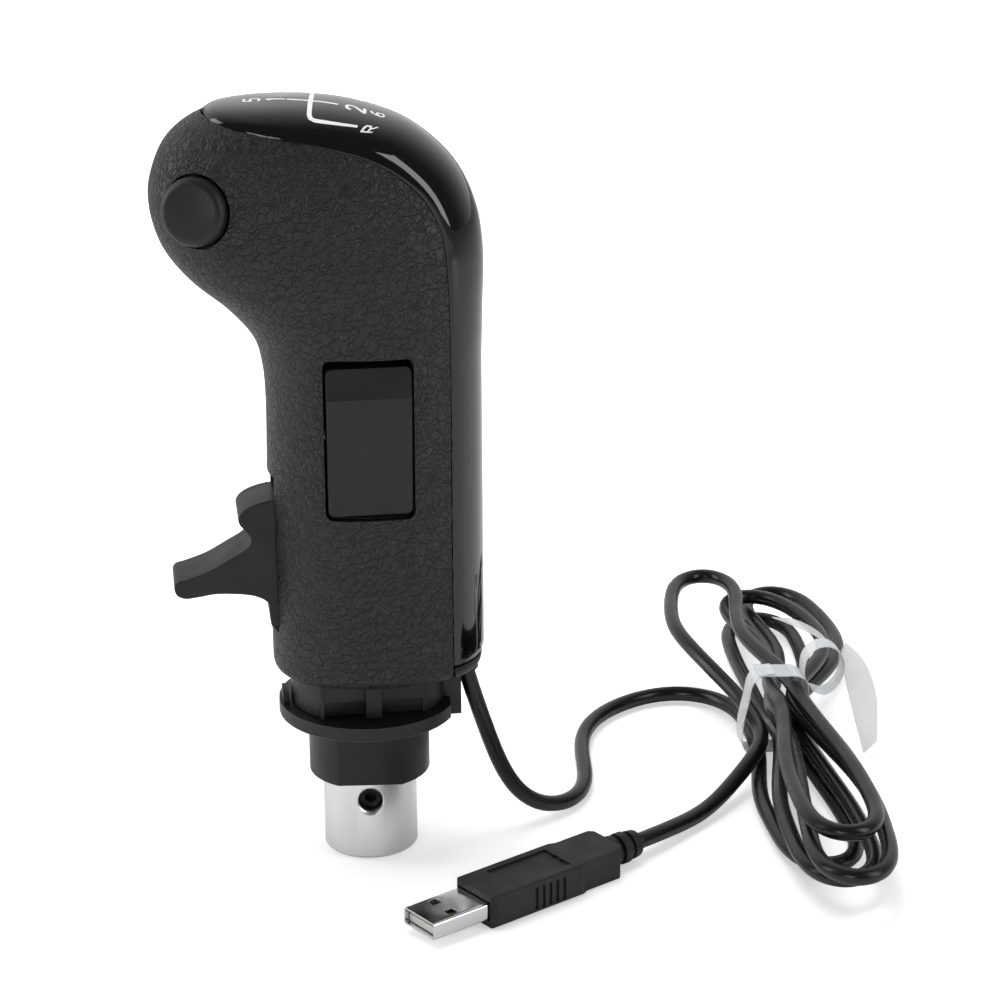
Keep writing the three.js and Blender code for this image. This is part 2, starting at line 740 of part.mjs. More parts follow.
// Inner frame: a disc on the sleeve, an upright plate, an arm into the head, ears for the paddle and posts
const discFoot = sleeveTop + seatGap;
const discTop = discFoot + frameDisc;
const plateFar = framePlateNear + framePlate;
const jackMiddle = boardFar + seatGap + jackHeight / 2;
const cordRun = cordRunShares.map(([back, side, height]) =>
  [back * backReach, THREE.MathUtils.lerp(outletDepth, jackMiddle, side), riseTo(height)]);
const cordNotch = solid(block([sleeveInner - sleeveWall, backReach],
  [outletDepth - cordDiameter, outletDepth + cordDiameter + slideGap],
  [discFoot - overrun, discTop + overrun]));
const frameOutline = [
  [frameFront, discTop - frameDisc / 2], [frameBack, discTop - frameDisc / 2], [frameBack, frameArmFoot],
  [frameBack / 2, riseTo(riseShares.frameTop)], [(frameBack + frameArmReach) / 2, frameArmTop],
  [frameArmReach, frameArmTop], [frameArmReach, frameArmFoot + frameDisc],
  [frameArmReach / 2, frameArmFoot], [frameFront, frameArmFoot - gripWall],
];
const earNear = paddleHalf + slideGap;
const earFront = paddlePivotReach - pinRadius - earThickness;
const ears = [1, -1].map((side) => solid(block([earFront, frameFront + webThickness],
  [side * earNear, side * (earNear + earThickness)].sort((a, b) => a - b), [earFoot, earTop])));
const web = solid(block([frameFront, frameFront + webThickness],
  [-earNear - earThickness / 2, earNear + earThickness / 2], [earFoot, earTop]));
const pinHalf = paddlePinLength / 2;

function alongY(radius, x, z, near, far) {
  const geometry = bar(radius, near, far);
  geometry.rotateX(-Math.PI / 2);
  geometry.translate(x, 0, z);
  return geometry;
}

const paddlePinHole = solid(alongY(pinRadius + seatGap, paddlePivotReach, paddlePivotHeight,
  -pinHalf - overrun, pinHalf + overrun));
const houseBack = -rockerFloorDepth + rockerHouseWall;
const rockerPostHeights = [rockerFoot + postRadius, rockerTop - postRadius];
const rockerPosts = rockerPostHeights.map((height) => solid(alongY(postRadius, 0, height,
  houseBack + seatGap, framePlateNear + framePlate / 2)));
const boardScrewHeights = [boardFoot + boardWidth / 4, boardTop - boardWidth / 4];
const boardPosts = boardScrewHeights.map((height) => solid(alongY(postRadius, frameBack / 4, height,
  plateFar - framePlate / 2, boardNear - seatGap)));
const boardScrewHoles = boardScrewHeights.map((height) => solid(alongY(boardScrewRadius + seatGap,
  frameBack / 4, height, boardNear - boardScrewLength, boardNear + overrun)));
const thumbSwitchDepth = guideFloorDepth + guideFloor + seatGap;
const thumbPost = solid(alongThumb(bar(postRadius + 2 * seatGap, -thumbSwitchDepth - switchBody - 2 * overrun,
  -thumbSwitchDepth - switchBody - seatGap)));
const farSide = solid(block([-headReach, backReach], [plateFar, headHalfWidth], [rimHeight, crownHeight]));
const frameFit = fuse(
  flattedBar(sleeveInner - seatGap, sleeveInnerFlat - seatGap, discFoot - frameSpigot, discTop),
  flattedBar(sleeveRadius - sleeveWall / 2, sleeveFlat - sleeveWall / 2, discFoot, discTop),
  solid(sideSlab(frameOutline, framePlateNear, plateFar)),
  web, ...ears, ...rockerPosts, cut(thumbPost, farSide),
);
const framePosts = fuse(...boardPosts);
place('inner_frame', cut(common(fuse(frameFit, framePosts), fitInside), paddlePinHole, cordNotch,
  ...boardScrewHoles), finish(0x2a2a2c, 0.6));

// Main board on the far side of the frame, with its chip, its jack for the cord and two screws
const boardHoles = boardScrewHeights.map((height) => solid(alongY(boardScrewRadius + seatGap,
  frameBack / 4, height, boardNear - overrun, boardFar + overrun)));
const boardMiddle = frameBack / 4;
place('main_board', cut(solid(block([boardMiddle - boardWidth / 2, boardMiddle + boardWidth / 2],
  [boardNear, boardFar], [boardFoot, boardTop])), ...boardHoles), finish(0x1f5a35, 0.5));
const chipMiddle = (boardFoot + boardTop) / 2;
place('main_chip', block([boardMiddle - chipSide / 2, boardMiddle + chipSide / 2],
  [boardFar + seatGap, boardFar + seatGap + chipHeight],
  [chipMiddle - chipSide / 2, chipMiddle + chipSide / 2]), finish(0x141414, 0.5));
const cordEnd = cordRun[cordRun.length - 1];
place('board_jack', block([cordEnd[0] - seatGap - jackLength, cordEnd[0] - seatGap],
  [boardFar + seatGap, boardFar + seatGap + jackHeight],
  [cordEnd[2] - jackWidth / 2, cordEnd[2] + jackWidth / 2]), finish(0xe6e2d4, 0.5));
['lower', 'upper'].forEach((name, index) => {
  const height = boardScrewHeights[index];
  place(`board_screw_${name}`, fuse(
    solid(alongY(boardScrewRadius, boardMiddle, height, boardNear - boardScrewLength + seatGap,
      boardFar + seatGap + boardScrewHead / 2)),
    solid(alongY(boardScrewHeadRadius, boardMiddle, height, boardFar + seatGap,
      boardFar + seatGap + boardScrewHead)),
  ), finish(0x9a9c9f, 0.35, 1));
});

// Rocker: its housing behind the opening, the cap, the pin across and a switch under each end
const houseHalf = rockerHalf + rockerHouseWall;
const rockerShellBox = solid(block([-houseHalf, houseHalf], [-headHalfWidth, houseBack],
  [rockerHouseFoot - rockerHouseWall, rockerHouseTop + rockerHouseWall]));

function alongX(radius, y, z, low, high) {
  const geometry = bar(radius, low, high);
  geometry.rotateY(Math.PI / 2);
  geometry.translate(0, y, z);
  return geometry;
}

const rockerPinHole = solid(alongX(pinRadius + seatGap, -rockerPivotDepth, rockerPivotHeight,
  -houseHalf - overrun, houseHalf + overrun));
place('rocker_housing', cut(common(rockerShellBox, fitInside), rockerOpening, rockerPinHole),
  finish(0x232324, 0.55));

// A side view of [depth, height] points given a width across X, centred
function crossSlab(points, width) {
  const geometry = new THREE.ExtrudeGeometry(shapeOf(points), { depth: width, bevelEnabled: false });
  geometry.rotateX(Math.PI / 2);
  geometry.rotateZ(Math.PI / 2);
  geometry.translate(-width / 2, 0, 0);
  return geometry;
}

const rockerOutline = [
  [rockerFootInset - headHalfWidth, rockerFoot], [-rockerBackDepth + rockerHouseWall, rockerFoot],
  [-rockerBackDepth, rockerTop], [rockerTopInset - headHalfWidth, rockerTop],
  [(rockerTopInset + rockerCreaseInset) / 2 - headHalfWidth, (rockerTop + rockerCrease) / 2],
  [rockerCreaseInset - headHalfWidth, rockerCrease],
  [(rockerFootInset + rockerCreaseInset) / 2 + seatGap - headHalfWidth, (rockerFoot + rockerCrease) / 2],
];
const rockerHub = solid(alongX(rockerHubRadius, -rockerPivotDepth, rockerPivotHeight,
  -rockerWidth / 2, rockerWidth / 2));
place('rocker_cap', cut(fuse(solid(crossSlab(rockerOutline, rockerWidth)), rockerHub), rockerPinHole),
  finish(0x141415, 0.38));
place('rocker_pin', alongX(pinRadius, -rockerPivotDepth, rockerPivotHeight, -houseHalf + seatGap,
  houseHalf - seatGap), finish(0xa5a7aa, 0.3, 1));

// A small push switch whose plunger points along +Z from the top of its body
function pushSwitch(plunger) {
  const half = switchSide / 2;
  return fuse(solid(block([-half, half], [-half, half], [-switchBody, 0])),
    solid(bar(plungerRadius, -switchBody / 2, plunger)));
}

function rockerSwitch(name, height, reach) {
  const geometry = geometryOf(pushSwitch(reach));
  geometry.rotateX(Math.PI / 2);
  geometry.translate(0, -rockerFloorDepth - seatGap - switchBody, height);
  place(name, geometry, finish(0x333335, 0.5));
}

const switchArm = (rockerTop - rockerFoot) / 2 - switchSide;
const restFace = rockerBackDepth - rockerHouseWall - rockerFloorDepth - switchBody - 2 * seatGap;
rockerSwitch('rocker_switch_lower', rockerPivotHeight - switchArm, restFace);
rockerSwitch('rocker_switch_upper', rockerPivotHeight + switchArm,
  restFace + rockerHouseWall - switchArm * Math.sin(radians(rockerThrow)) - seatGap);

// Thumb button: dome, skirt, flange and stem, in a cup behind the shell with a spring and a switch
const domeRise = thumbDome - thumbShoulder;
const domeSteps = 5;
const domeProfile = Array.from({ length: domeSteps + 1 }, (_, index) => {
  const bend = Math.PI / 2 * (index / domeSteps);
  return [thumbRadius * Math.cos(bend), thumbShoulder + domeRise * Math.sin(bend)];
});
const flangeBack = thumbFlangeDepth + thumbFlange;
domeProfile[domeSteps][0] = 0;
const thumbProfile = [
  [0, -flangeBack - thumbStem], [thumbStemRadius, -flangeBack - thumbStem], [thumbStemRadius, -flangeBack],
  [thumbFlangeRadius, -flangeBack], [thumbFlangeRadius, -thumbFlangeDepth], [thumbRadius, -thumbFlangeDepth],
  ...domeProfile,
];
place('thumb_button', solid(alongThumb(turned(thumbProfile, buttonSides))), finish(0x171718, 0.45));
const guideBore = thumbFlangeRadius + slideGap;
const guideProfile = [
  [thumbStemRadius + slideGap, -guideFloorDepth - guideFloor],
  [guideBore + guideWall, -guideFloorDepth - guideFloor],
  [guideBore + guideWall, overrun], [guideBore, overrun], [guideBore, -guideFloorDepth],
  [thumbStemRadius + slideGap, -guideFloorDepth],
];
const armClear = solid(block([-headReach, backReach], [framePlateNear - seatGap, headHalfWidth],
  [rimHeight, crownHeight]));
place('thumb_guide', cut(common(solid(alongThumb(turned(guideProfile, buttonSides))), fitInside), armClear,
  behindSeam(-coverInset)), finish(0x232324, 0.55));

// A tube of few sides swept along points, with flat ends square to its first and last steps
function sweptTube(points, radius, sides) {
  const path = points.map((point) => point.clone());
  let side = new THREE.Vector3(0, 0, 1);
  const rings = path.map((point, index) => {
    const before = path[Math.max(index - 1, 0)];
    const after = path[Math.min(index + 1, path.length - 1)];
    const ahead = after.clone().sub(before).normalize();
    side = side.clone().addScaledVector(ahead, -side.dot(ahead)).normalize();
    const up = ahead.clone().cross(side);
    return Array.from({ length: sides }, (_, corner) => {
      const turn = 2 * Math.PI * corner / sides;
      return point.clone().addScaledVector(side, radius * Math.cos(turn))
        .addScaledVector(up, radius * Math.sin(turn));
    });
  });
  return loft(rings);
}

const springFree = guideFloorDepth - flangeBack;
const springRise = springFree - 2 * seatGap - springWire;
const springCurve = Array.from({ length: springSteps * springTurns + 1 }, (_, index) => {
  const turn = 2 * Math.PI * index / springSteps;
  return new THREE.Vector3(springRadius * Math.cos(turn), springRadius * Math.sin(turn),
    -guideFloorDepth + seatGap + springWire / 2 + springRise * index / (springSteps * springTurns));
});
place('thumb_spring', alongThumb(sweptTube(springCurve, springWire / 2, springSides)),
  finish(0xb4b6b9, 0.3, 1));
const thumbSwitch = geometryOf(pushSwitch(thumbSwitchDepth - flangeBack - thumbStem - thumbTravel - seatGap));
thumbSwitch.translate(0, 0, -thumbSwitchDepth);
place('thumb_switch', alongThumb(thumbSwitch), finish(0x333335, 0.5));

// Range paddle: a side profile with a hump, a hooked beak and a leg, on a hub that turns on its pin
const paddleShares = [
  [0.4, 0.98], [0.46, 1], [0.52, 0.975], [0.6, 0.93], [0.648, 0.9], [0.664, 0.86], [0.65, 0.83],
  [0.61, 0.745], [0.592, 0.69], [0.612, 0.65], [0.7, 0.565], [0.82, 0.468], [0.94, 0.408], [0.985, 0.39],
  [1, 0.352], [0.988, 0.29], [0.948, 0.26], [0.88, 0.266], [0.8, 0.282], [0.72, 0.28], [0.6, 0.256],
  [0.545, 0.222], [0.518, 0.185], [0.512, 0.06], [0.5, 0], [0.44, 0.02],
];
const paddleOutline = paddleShares.map(([reachShare, heightShare]) =>
  [-reachShare * paddleReach, paddleFoot + heightShare * (paddleHead - paddleFoot)]);
const paddleHub = solid(alongY(paddleHubRadius, paddlePivotReach, paddlePivotHeight,
  -paddleHalf, paddleHalf));
const paddleCore = solid(sideSlab(paddleOutline, -paddleHalf, paddleHalf));
place('range_paddle', cut(fuse(paddleCore, paddleHub), paddlePinHole), finish(0x161617, 0.4));
place('paddle_pin', alongY(pinRadius, paddlePivotReach, paddlePivotHeight, -pinHalf + seatGap,
  pinHalf - seatGap), finish(0xa5a7aa, 0.3, 1));

function paddleSwitch(name, height, reach) {
  const geometry = geometryOf(pushSwitch(reach));
  geometry.rotateY(-Math.PI / 2);
  geometry.translate(frameFront - seatGap - switchBody, 0, height);
  place(name, geometry, finish(0x333335, 0.5));
}

const switchFace = -frameFront + seatGap + switchBody;
const upperSwitch = earTop - switchSide / 2;
const lowerSwitch = earFoot + switchSide / 2;
const paddleSwing = (upperSwitch - paddlePivotHeight) * Math.sin(radians(paddleThrow));

// How far the paddle's straight back stands from the origin at a height
function paddleBack(height) {
  const [highReach, highShare] = paddleShares[0];
  const [lowReach, lowShare] = paddleShares[paddleShares.length - 1];
  const share = (height - paddleFoot) / (paddleHead - paddleFoot);
  return paddleReach * THREE.MathUtils.mapLinear(share, lowShare, highShare, lowReach, highReach);
}

paddleSwitch('paddle_switch_upper', upperSwitch,
  paddleBack(upperSwitch) - switchFace - paddleSwing - seatGap);
paddleSwitch('paddle_switch_lower', lowerSwitch, paddleBack(lowerSwitch) - switchFace - 2 * seatGap);

// Cord inside the handle: from the outlet up behind the sleeve and round to the board's jack
const cordRadius = cordDiameter / 2;

function vectors(points) {
  return points.map(([x, y, z]) => new THREE.Vector3(x, y, z));
}

// A cord of eight or more sides along a smooth curve, a step every two diameters
function cord(points, sides) {
  const curve = new THREE.CatmullRomCurve3(points, false, 'centripetal');
  const corners = Array.from({ length: sides }, (_, corner) => {
    const turn = 2 * Math.PI * corner / sides;
    return [cordRadius * Math.cos(turn), cordRadius * Math.sin(turn)];
  });
  return new THREE.ExtrudeGeometry(shapeOf(corners), {
    steps: Math.ceil(curve.getLength() / (2 * cordDiameter)), bevelEnabled: false, extrudePath: curve,
  });
}

const innerStart = [1 / 3, 2 / 3, 1].map((share) =>
  outletPoint.clone().addScaledVector(outletAxis, seatGap + share * grommetLength));
place('cord_inner', cord([...innerStart, ...vectors(cordRun)], cordSides), finish(0x161617, 0.45));
const clampFoot = discTop + seatGap;
const clampBlock = block([frameBack + framePlate / 2, cordRun[1][0] + cordRadius + clampWall],
  [cordRun[1][1] - cordRadius - clampWall, cordRun[1][1] + cordRadius + clampWall],
  [clampFoot, clampFoot + clampHeight]);
const clampBore = bar(cordRadius + 2 * seatGap, clampFoot - overrun, clampFoot + clampHeight + overrun);
clampBore.translate(cordRun[1][0], cordRun[1][1], 0);
place('cable_clamp', common(cut(solid(clampBlock), solid(clampBore)), fitInside), finish(0x2a2a2c, 0.6));
const grommetProfile = [
  [grommetBore, 0], [grommetRadius - seatGap, 0], [grommetRadius, seatGap], [grommetRadius, grommetLength],
  [grommetBore, grommetLength],
];
place('cable_grommet', alongOutlet(turned(grommetProfile, smallSides)), finish(0x131313, 0.6));

// Cord outside: the lead, at shares of the way from outlet to bundle and of the outlet's height
const layerFoot = floorGap + ribbonThickness + seatGap + cordRadius;
const floorLine = floorGap + cordRadius;
const laneReach = waistReach - waistHalfGap - laneStep;
const leadStart = outletPoint.clone().addScaledVector(outletAxis, grommetBore / 2);
const leadSecond = outletPoint.clone().addScaledVector(outletAxis, -grommetBore);
const leadEnd = new THREE.Vector3(laneReach, waistSide + laneStraight + seatGap, layerFoot);
const leadShares = [
  [0.0153, 0, 0.887], [0.033, 0.0049, 0.7785], [0.0542, 0.0171, 0.652], [0.0755, 0.0366, 0.5209],
  [0.1014, 0.0561, 0.3808], [0.1321, 0.0732, 0.2497], [0.1733, 0.0927, 0.1322], [0.2264, 0.122, 0.0531],
  [0.2889, 0.178, 0.0124], [0.3479, 0.2732, 0.0011], [0.3927, 0.4293, 0], [0.4163, 0.6488, 0],
  [0.4269, 0.9024, 0], [0.4446, 1.1829, 0], [0.4858, 1.4268, 0], [0.559, 1.6341, 0],
  [0.6592, 1.7878, 0.0011], [0.7653, 1.8683, 0.0034], [0.8656, 1.8293, 0.0102], [0.9469, 1.6829, 0.0169],
  [0.9906, 1.478, 0.0203], [1, 1.2805, 0.0203],
];
const leadRoute = leadShares.map(([reach, side, height]) => new THREE.Vector3(
  THREE.MathUtils.lerp(outletReach, laneReach, reach), THREE.MathUtils.lerp(outletDepth, waistSide, side),
  THREE.MathUtils.lerp(floorLine, outletFoot, height)));
place('cord_lead', cord([leadStart, leadSecond, ...leadRoute, leadEnd], cordSides), finish(0x161617, 0.45));

// Bundle: four turns, one to a layer, each a near and a far lobe drawn in at the waist. A turn climbs to the
// next layer along its left run, and the cord comes in and goes out by a lane beside that run.
function lobePoints(turnIndex, far) {
  const [length, lean, bow, halfWidth] = (far ? farLobes : nearLobes)[turnIndex];
  const run = length - halfWidth;
  const first = far ? 1 : -1;
  const inLane = turnIndex === (far ? farLobes.length - 1 : 0);

  // A point beside the lobe's middle line, and ahead of it round the tip
  function beside(along, side, ahead) {
    const share = along / length;
    const slope = (2 * lean * share + bow * Math.PI * Math.sin(2 * Math.PI * share)) / length;
    const forward = new THREE.Vector2(slope, 1).normalize();
    const point = new THREE.Vector2(lean * share ** 2 + bow * Math.sin(Math.PI * share) ** 2, along);
    point.addScaledVector(forward, ahead).addScaledVector(new THREE.Vector2(forward.y, -forward.x), side);
    let height = layerFoot + layerPitch * turnIndex;
    if (side < 0 && inLane) point.x -= laneStep * (1 - smooth(along / laneRun));
    if (side < 0 && inLane && far) height -= tailDrop * (1 - smooth(along / tailRun));
    if (side < 0 && !inLane) height += first * layerPitch * smooth((climbRun - along) / (2 * climbRun));
    return new THREE.Vector3(waistReach + point.x, waistSide + first * point.y, height);
  }

  const widths = lobeRunShares.map((share) =>
    waistHalfGap + (halfWidth - waistHalfGap) * smooth(share / lobeOpenShare));
  const out = lobeRunShares.map((share, index) => beside(run * share, first * widths[index], 0));
  const tip = lobeTipDegrees.map((degrees) => beside(run, first * halfWidth * Math.cos(radians(degrees)),
    halfWidth * Math.sin(radians(degrees))));
  const back = lobeRunShares.map((share, index) => beside(run * share, -first * widths[index], 0)).reverse();
  return [...out, ...tip, ...back];
}

const lobes = farLobes.flatMap((_, turnIndex) => [lobePoints(turnIndex, false), lobePoints(turnIndex, true)]);
const turns = lobes.flatMap((points, index) => (index === 0 ? points : points.slice(1)));
const bundleStart = turns[0].clone().setY(waistSide + laneStraight);
const bundleEnd = turns[turns.length - 1].clone().setY(waistSide - laneStraight);
const bundlePoints = [bundleStart, ...turns, bundleEnd];

// The least gap of the bundle to itself, from points down every step, leaving out each point's own stretch
function leastGap(corners, skip) {
  const parts = 6;
  const points = corners.slice(1).flatMap((corner, index) =>
    Array.from({ length: parts }, (_, part) => corners[index].clone().lerp(corner, part / parts)));
  const along = [0];
  points.slice(1).forEach((point, index) => along.push(along[index] + point.distanceTo(points[index])));
  let least = Infinity;
  points.forEach((one, index) => points.slice(index + 1).forEach((two, later) => {
    if (along[index + 1 + later] - along[index] > skip) least = Math.min(least, one.distanceTo(two));
  }));
  return { gap: least - cordDiameter, length: along[along.length - 1] };
}

const bundleMeasure = leastGap(bundlePoints, 4 * cordDiameter);
console.log(`cord bundle: least gap ${bundleMeasure.gap.toFixed(2)}`);
console.log(`cord bundle: length ${bundleMeasure.length.toFixed(0)}`);
place('cord_bundle', sweptTube(bundlePoints, cordRadius, bundleSides), finish(0x161617, 0.45));

// Tie ribbon: a wrap round the waist, a standing ring beside it and a flap that hangs from the ring
const wrapLeft = laneReach - cordRadius - seatGap - wrapSlack;
const wrapRight = waistReach + waistHalfGap + cordRadius + seatGap + wrapSlack;
const wrapHigh = layerFoot + layerPitch * (farLobes.length - 1) + cordRadius + seatGap;
const wrapOutline = (grow) => [
  [wrapLeft - grow, floorGap + ribbonThickness - grow], [wrapRight + grow, floorGap + ribbonThickness - grow],
  [wrapRight + grow, wrapHigh + grow], [waistReach - waistHalfGap - cordRadius - grow, wrapHigh + grow],
  [wrapLeft - grow, layerFoot + 2 * layerPitch + grow],
];
const ribbonNear = waistSide - ribbonWidth / 2;
const ribbonFar = waistSide + ribbonWidth / 2;
const ring = turned([[ringRadius - ribbonThickness, -ribbonWidth / 2], [ringRadius, -ribbonWidth / 2],
  [ringRadius, ribbonWidth / 2], [ringRadius - ribbonThickness, ribbonWidth / 2]], smallSides);
ring.rotateX(Math.PI / 2);
ring.translate(waistReach + ringReach, waistSide, ringHeight);
const flapLine = flapShares.map(([reachShare, heightShare]) => new THREE.Vector2(
  waistReach + reachShare * flapReach, heightShare * flapTop));
const ringCentre = new THREE.Vector2(waistReach + ringReach, ringHeight);
const flapOuter = flapLine.map((point) => {
  const away = point.clone().sub(ringCentre).normalize();
  return point.clone().addScaledVector(away, ribbonThickness);
});
const flapOutline = [...flapLine, ...flapOuter.reverse()].map((point) => [point.x, point.y]);
place('tie_ribbon', fuse(
  cut(solid(sideSlab(wrapOutline(ribbonThickness), ribbonNear, ribbonFar)),
    solid(sideSlab(wrapOutline(0), ribbonNear - overrun, ribbonFar + overrun))),
  solid(ring),
  solid(sideSlab(flapOutline, flapNear, flapFar)),
), finish(0xdfe4ea, 0.35));

// Plug: laid on the floor, built along its own axis from the shell's mouth back
const plug = new THREE.Group();
plug.position.set(plugReach, plugSide, floorGap);
plug.rotation.z = radians(plugYaw);
part.add(plug);

function roundedBar(halfWidth, low, high, round) {
  const shape = new THREE.Shape();
  shape.moveTo(-halfWidth + round, low);
  shape.lineTo(halfWidth - round, low);
  shape.absarc(halfWidth - round, low + round, round, -Math.PI / 2, 0, false);
  shape.absarc(halfWidth - round, high - round, round, 0, Math.PI / 2, false);
  shape.absarc(-halfWidth + round, high - round, round, Math.PI / 2, Math.PI, false);
  shape.absarc(-halfWidth + round, low + round, round, Math.PI, 1.5 * Math.PI, false);
  return shape;
}

// A section across the plug, drawn in [side, height], run along the plug from start to finish
function alongPlug(shape, start, end) {
  const geometry = new THREE.ExtrudeGeometry(shape, {
    depth: end - start, bevelEnabled: false, curveSegments: cornerFacets,
  });
  geometry.rotateX(Math.PI / 2);
  geometry.rotateZ(Math.PI / 2);
  geometry.translate(start, 0, 0);
  return geometry;
}

const plugMiddle = overmouldHeight / 2;
const shellLow = plugMiddle - shellHeight / 2;
const shellHigh = plugMiddle + shellHeight / 2;
const shellEnd = shellOut + shellIn;
const shellTube = cut(
  solid(alongPlug(roundedBar(shellWidth / 2, shellLow, shellHigh, shellRound), 0, shellEnd)),
  solid(alongPlug(roundedBar(shellWidth / 2 - shellWall, shellLow + shellWall, shellHigh - shellWall,
    shellRound - shellWall), -overrun, shellEnd + overrun)),
  ...[1, -1].map((side) => solid(block([shellWindowBack, shellWindowBack + shellWindow],
    [side * shellWindowSide - shellWindow / 2, side * shellWindowSide + shellWindow / 2],
    [shellLow - overrun, shellHigh + overrun]))),
);
place('plug_shell', shellTube, finish(0xd2d4d6, 0.22, 1), plug);

const overmouldStart = shellOut + seatGap;
const overmouldEnd = overmouldStart + overmouldLength;
const wide = overmouldWidth / 2;
const neck = overmouldNeck / 2;
const neckStart = overmouldStart + overmouldFootShare * overmouldLength;
const neckEnd = overmouldStart + overmouldNeckShare * overmouldLength;
const overmouldPlan = [
  [overmouldStart, -wide + overmouldRound], [overmouldStart + overmouldRound, -wide], [neckStart, -wide],
  [neckEnd, -neck], [overmouldEnd - overmouldRound, -neck], [overmouldEnd, -neck + overmouldRound],
  [overmouldEnd, neck - overmouldRound], [overmouldEnd - overmouldRound, neck], [neckEnd, neck],
  [neckStart, wide], [overmouldStart + overmouldRound, wide], [overmouldStart, wide - overmouldRound],
];
const overmouldBar = solid(alongPlug(roundedBar(wide, 0, overmouldHeight, overmouldRound), overmouldStart,
  overmouldEnd));
const shellPocket = solid(block([0, shellEnd + seatGap],
  [-shellWidth / 2 - seatGap, shellWidth / 2 + seatGap], [shellLow - seatGap, shellHigh + seatGap]));
const panelCut = solid(block([overmouldStart + 2 * shellIn, neckStart - overmouldRound],
  [-wide / 2 - overmouldRound, wide / 2 + overmouldRound],
  [overmouldHeight - overmouldPanel, overmouldHeight + overrun]));
const sideRibs = [1, -1].flatMap((side) => [0, 1, 2, 3, 4].map((index) => {
  const start = overmouldStart + overmouldRibShare * overmouldLength + 2 * index * overmouldRib;
  return solid(block([start, start + overmouldRib],
    [side * (wide - overmouldPanel), side * (wide + overrun)].sort((a, b) => a - b),
    [overmouldRound, overmouldHeight - overmouldRound]));
}));
const overmouldPlate = solid(plate(overmouldPlan, -overrun, overmouldHeight + overrun));
place('plug_overmould', cut(common(overmouldBar, overmouldPlate), shellPocket, panelCut, ...sideRibs),
  finish(0x191919, 0.5), plug);

const tongueLow = shellLow + shellWall + seatGap;
const tongueTop = tongueLow + tongueThickness;
place('plug_tongue', block([tongueSet, shellEnd], [-tongueWidth / 2, tongueWidth / 2],
  [tongueLow, tongueTop]), finish(0xf0f0ee, 0.4), plug);
[-1.5, -0.5, 0.5, 1.5].forEach((share, index) => {
  const side = share * contactSpacing;
  place(`plug_contact_${index + 1}`, block([2 * tongueSet, shellOut],
    [side - contactWidth / 2, side + contactWidth / 2],
    [tongueTop + seatGap, tongueTop + seatGap + contactThickness]), finish(0xc9a24a, 0.3, 1), plug);
});

// Strain relief: a short ribbed cuff of two grooves behind the overmould
const reliefStart = overmouldEnd + seatGap;
const reliefStep = reliefLength / 5;
const reliefInner = reliefRadius - reliefGrooveDepth;
const reliefProfile = [
  [0, 0], [reliefRadius, 0], [reliefRadius, reliefStep], [reliefInner, reliefStep],
  [reliefInner, reliefStep + reliefGroove], [reliefRadius, reliefStep + reliefGroove],
  [reliefRadius, 3 * reliefStep], [reliefInner, 3 * reliefStep], [reliefInner, 3 * reliefStep + reliefGroove],
  [reliefRadius - seatGap, 3 * reliefStep + reliefGroove], [reliefRadius - 2 * seatGap, reliefLength],
  [0, reliefLength],
];
const relief = turned(reliefProfile, smallSides);
relief.rotateY(Math.PI / 2);
relief.translate(reliefStart, 0, plugMiddle);
place('plug_relief', solid(relief), finish(0x191919, 0.5), plug);

// Cord outside: the tail, at shares of the way from the bundle down to the floor and into the plug
const plugAxis = new THREE.Vector3(Math.cos(radians(plugYaw)), Math.sin(radians(plugYaw)), 0);
const tailEnd = new THREE.Vector3(plugReach, plugSide, floorGap + plugMiddle)
  .addScaledVector(plugAxis, reliefStart + reliefLength + seatGap);
const tailStart = bundleEnd.clone();
tailStart.y -= seatGap;
const tailShares = [
  [0, 0.0798, 1], [0.0318, 0.1851, 0.9638], [0.1204, 0.3049, 0.8188], [0.2498, 0.4319, 0.5145],
  [0.3839, 0.5553, 0.2101], [0.5338, 0.6823, 0.0507], [0.6882, 0.793, 0.1087],
];
const tailRoute = tailShares.map(([reach, side, height]) => new THREE.Vector3(
  THREE.MathUtils.lerp(bundleEnd.x, tailEnd.x, reach), THREE.MathUtils.lerp(bundleEnd.y, tailEnd.y, side),
  THREE.MathUtils.lerp(floorLine, bundleEnd.z, height)));
const tailLast = tailEnd.clone().addScaledVector(plugAxis, cordDiameter);
place('cord_tail', cord([tailStart, ...tailRoute, tailLast, tailEnd], cordSides), finish(0x161617, 0.45));

export default part;
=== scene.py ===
# The knob is dressed piece by piece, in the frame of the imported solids. Pieces are laid out in millimetres
# and made in metres; the camera, the lights, the bevels and the bumps are given in metres.
import json
import math
import bmesh
import bpy
import numpy as np
from mathutils import Matrix, Vector


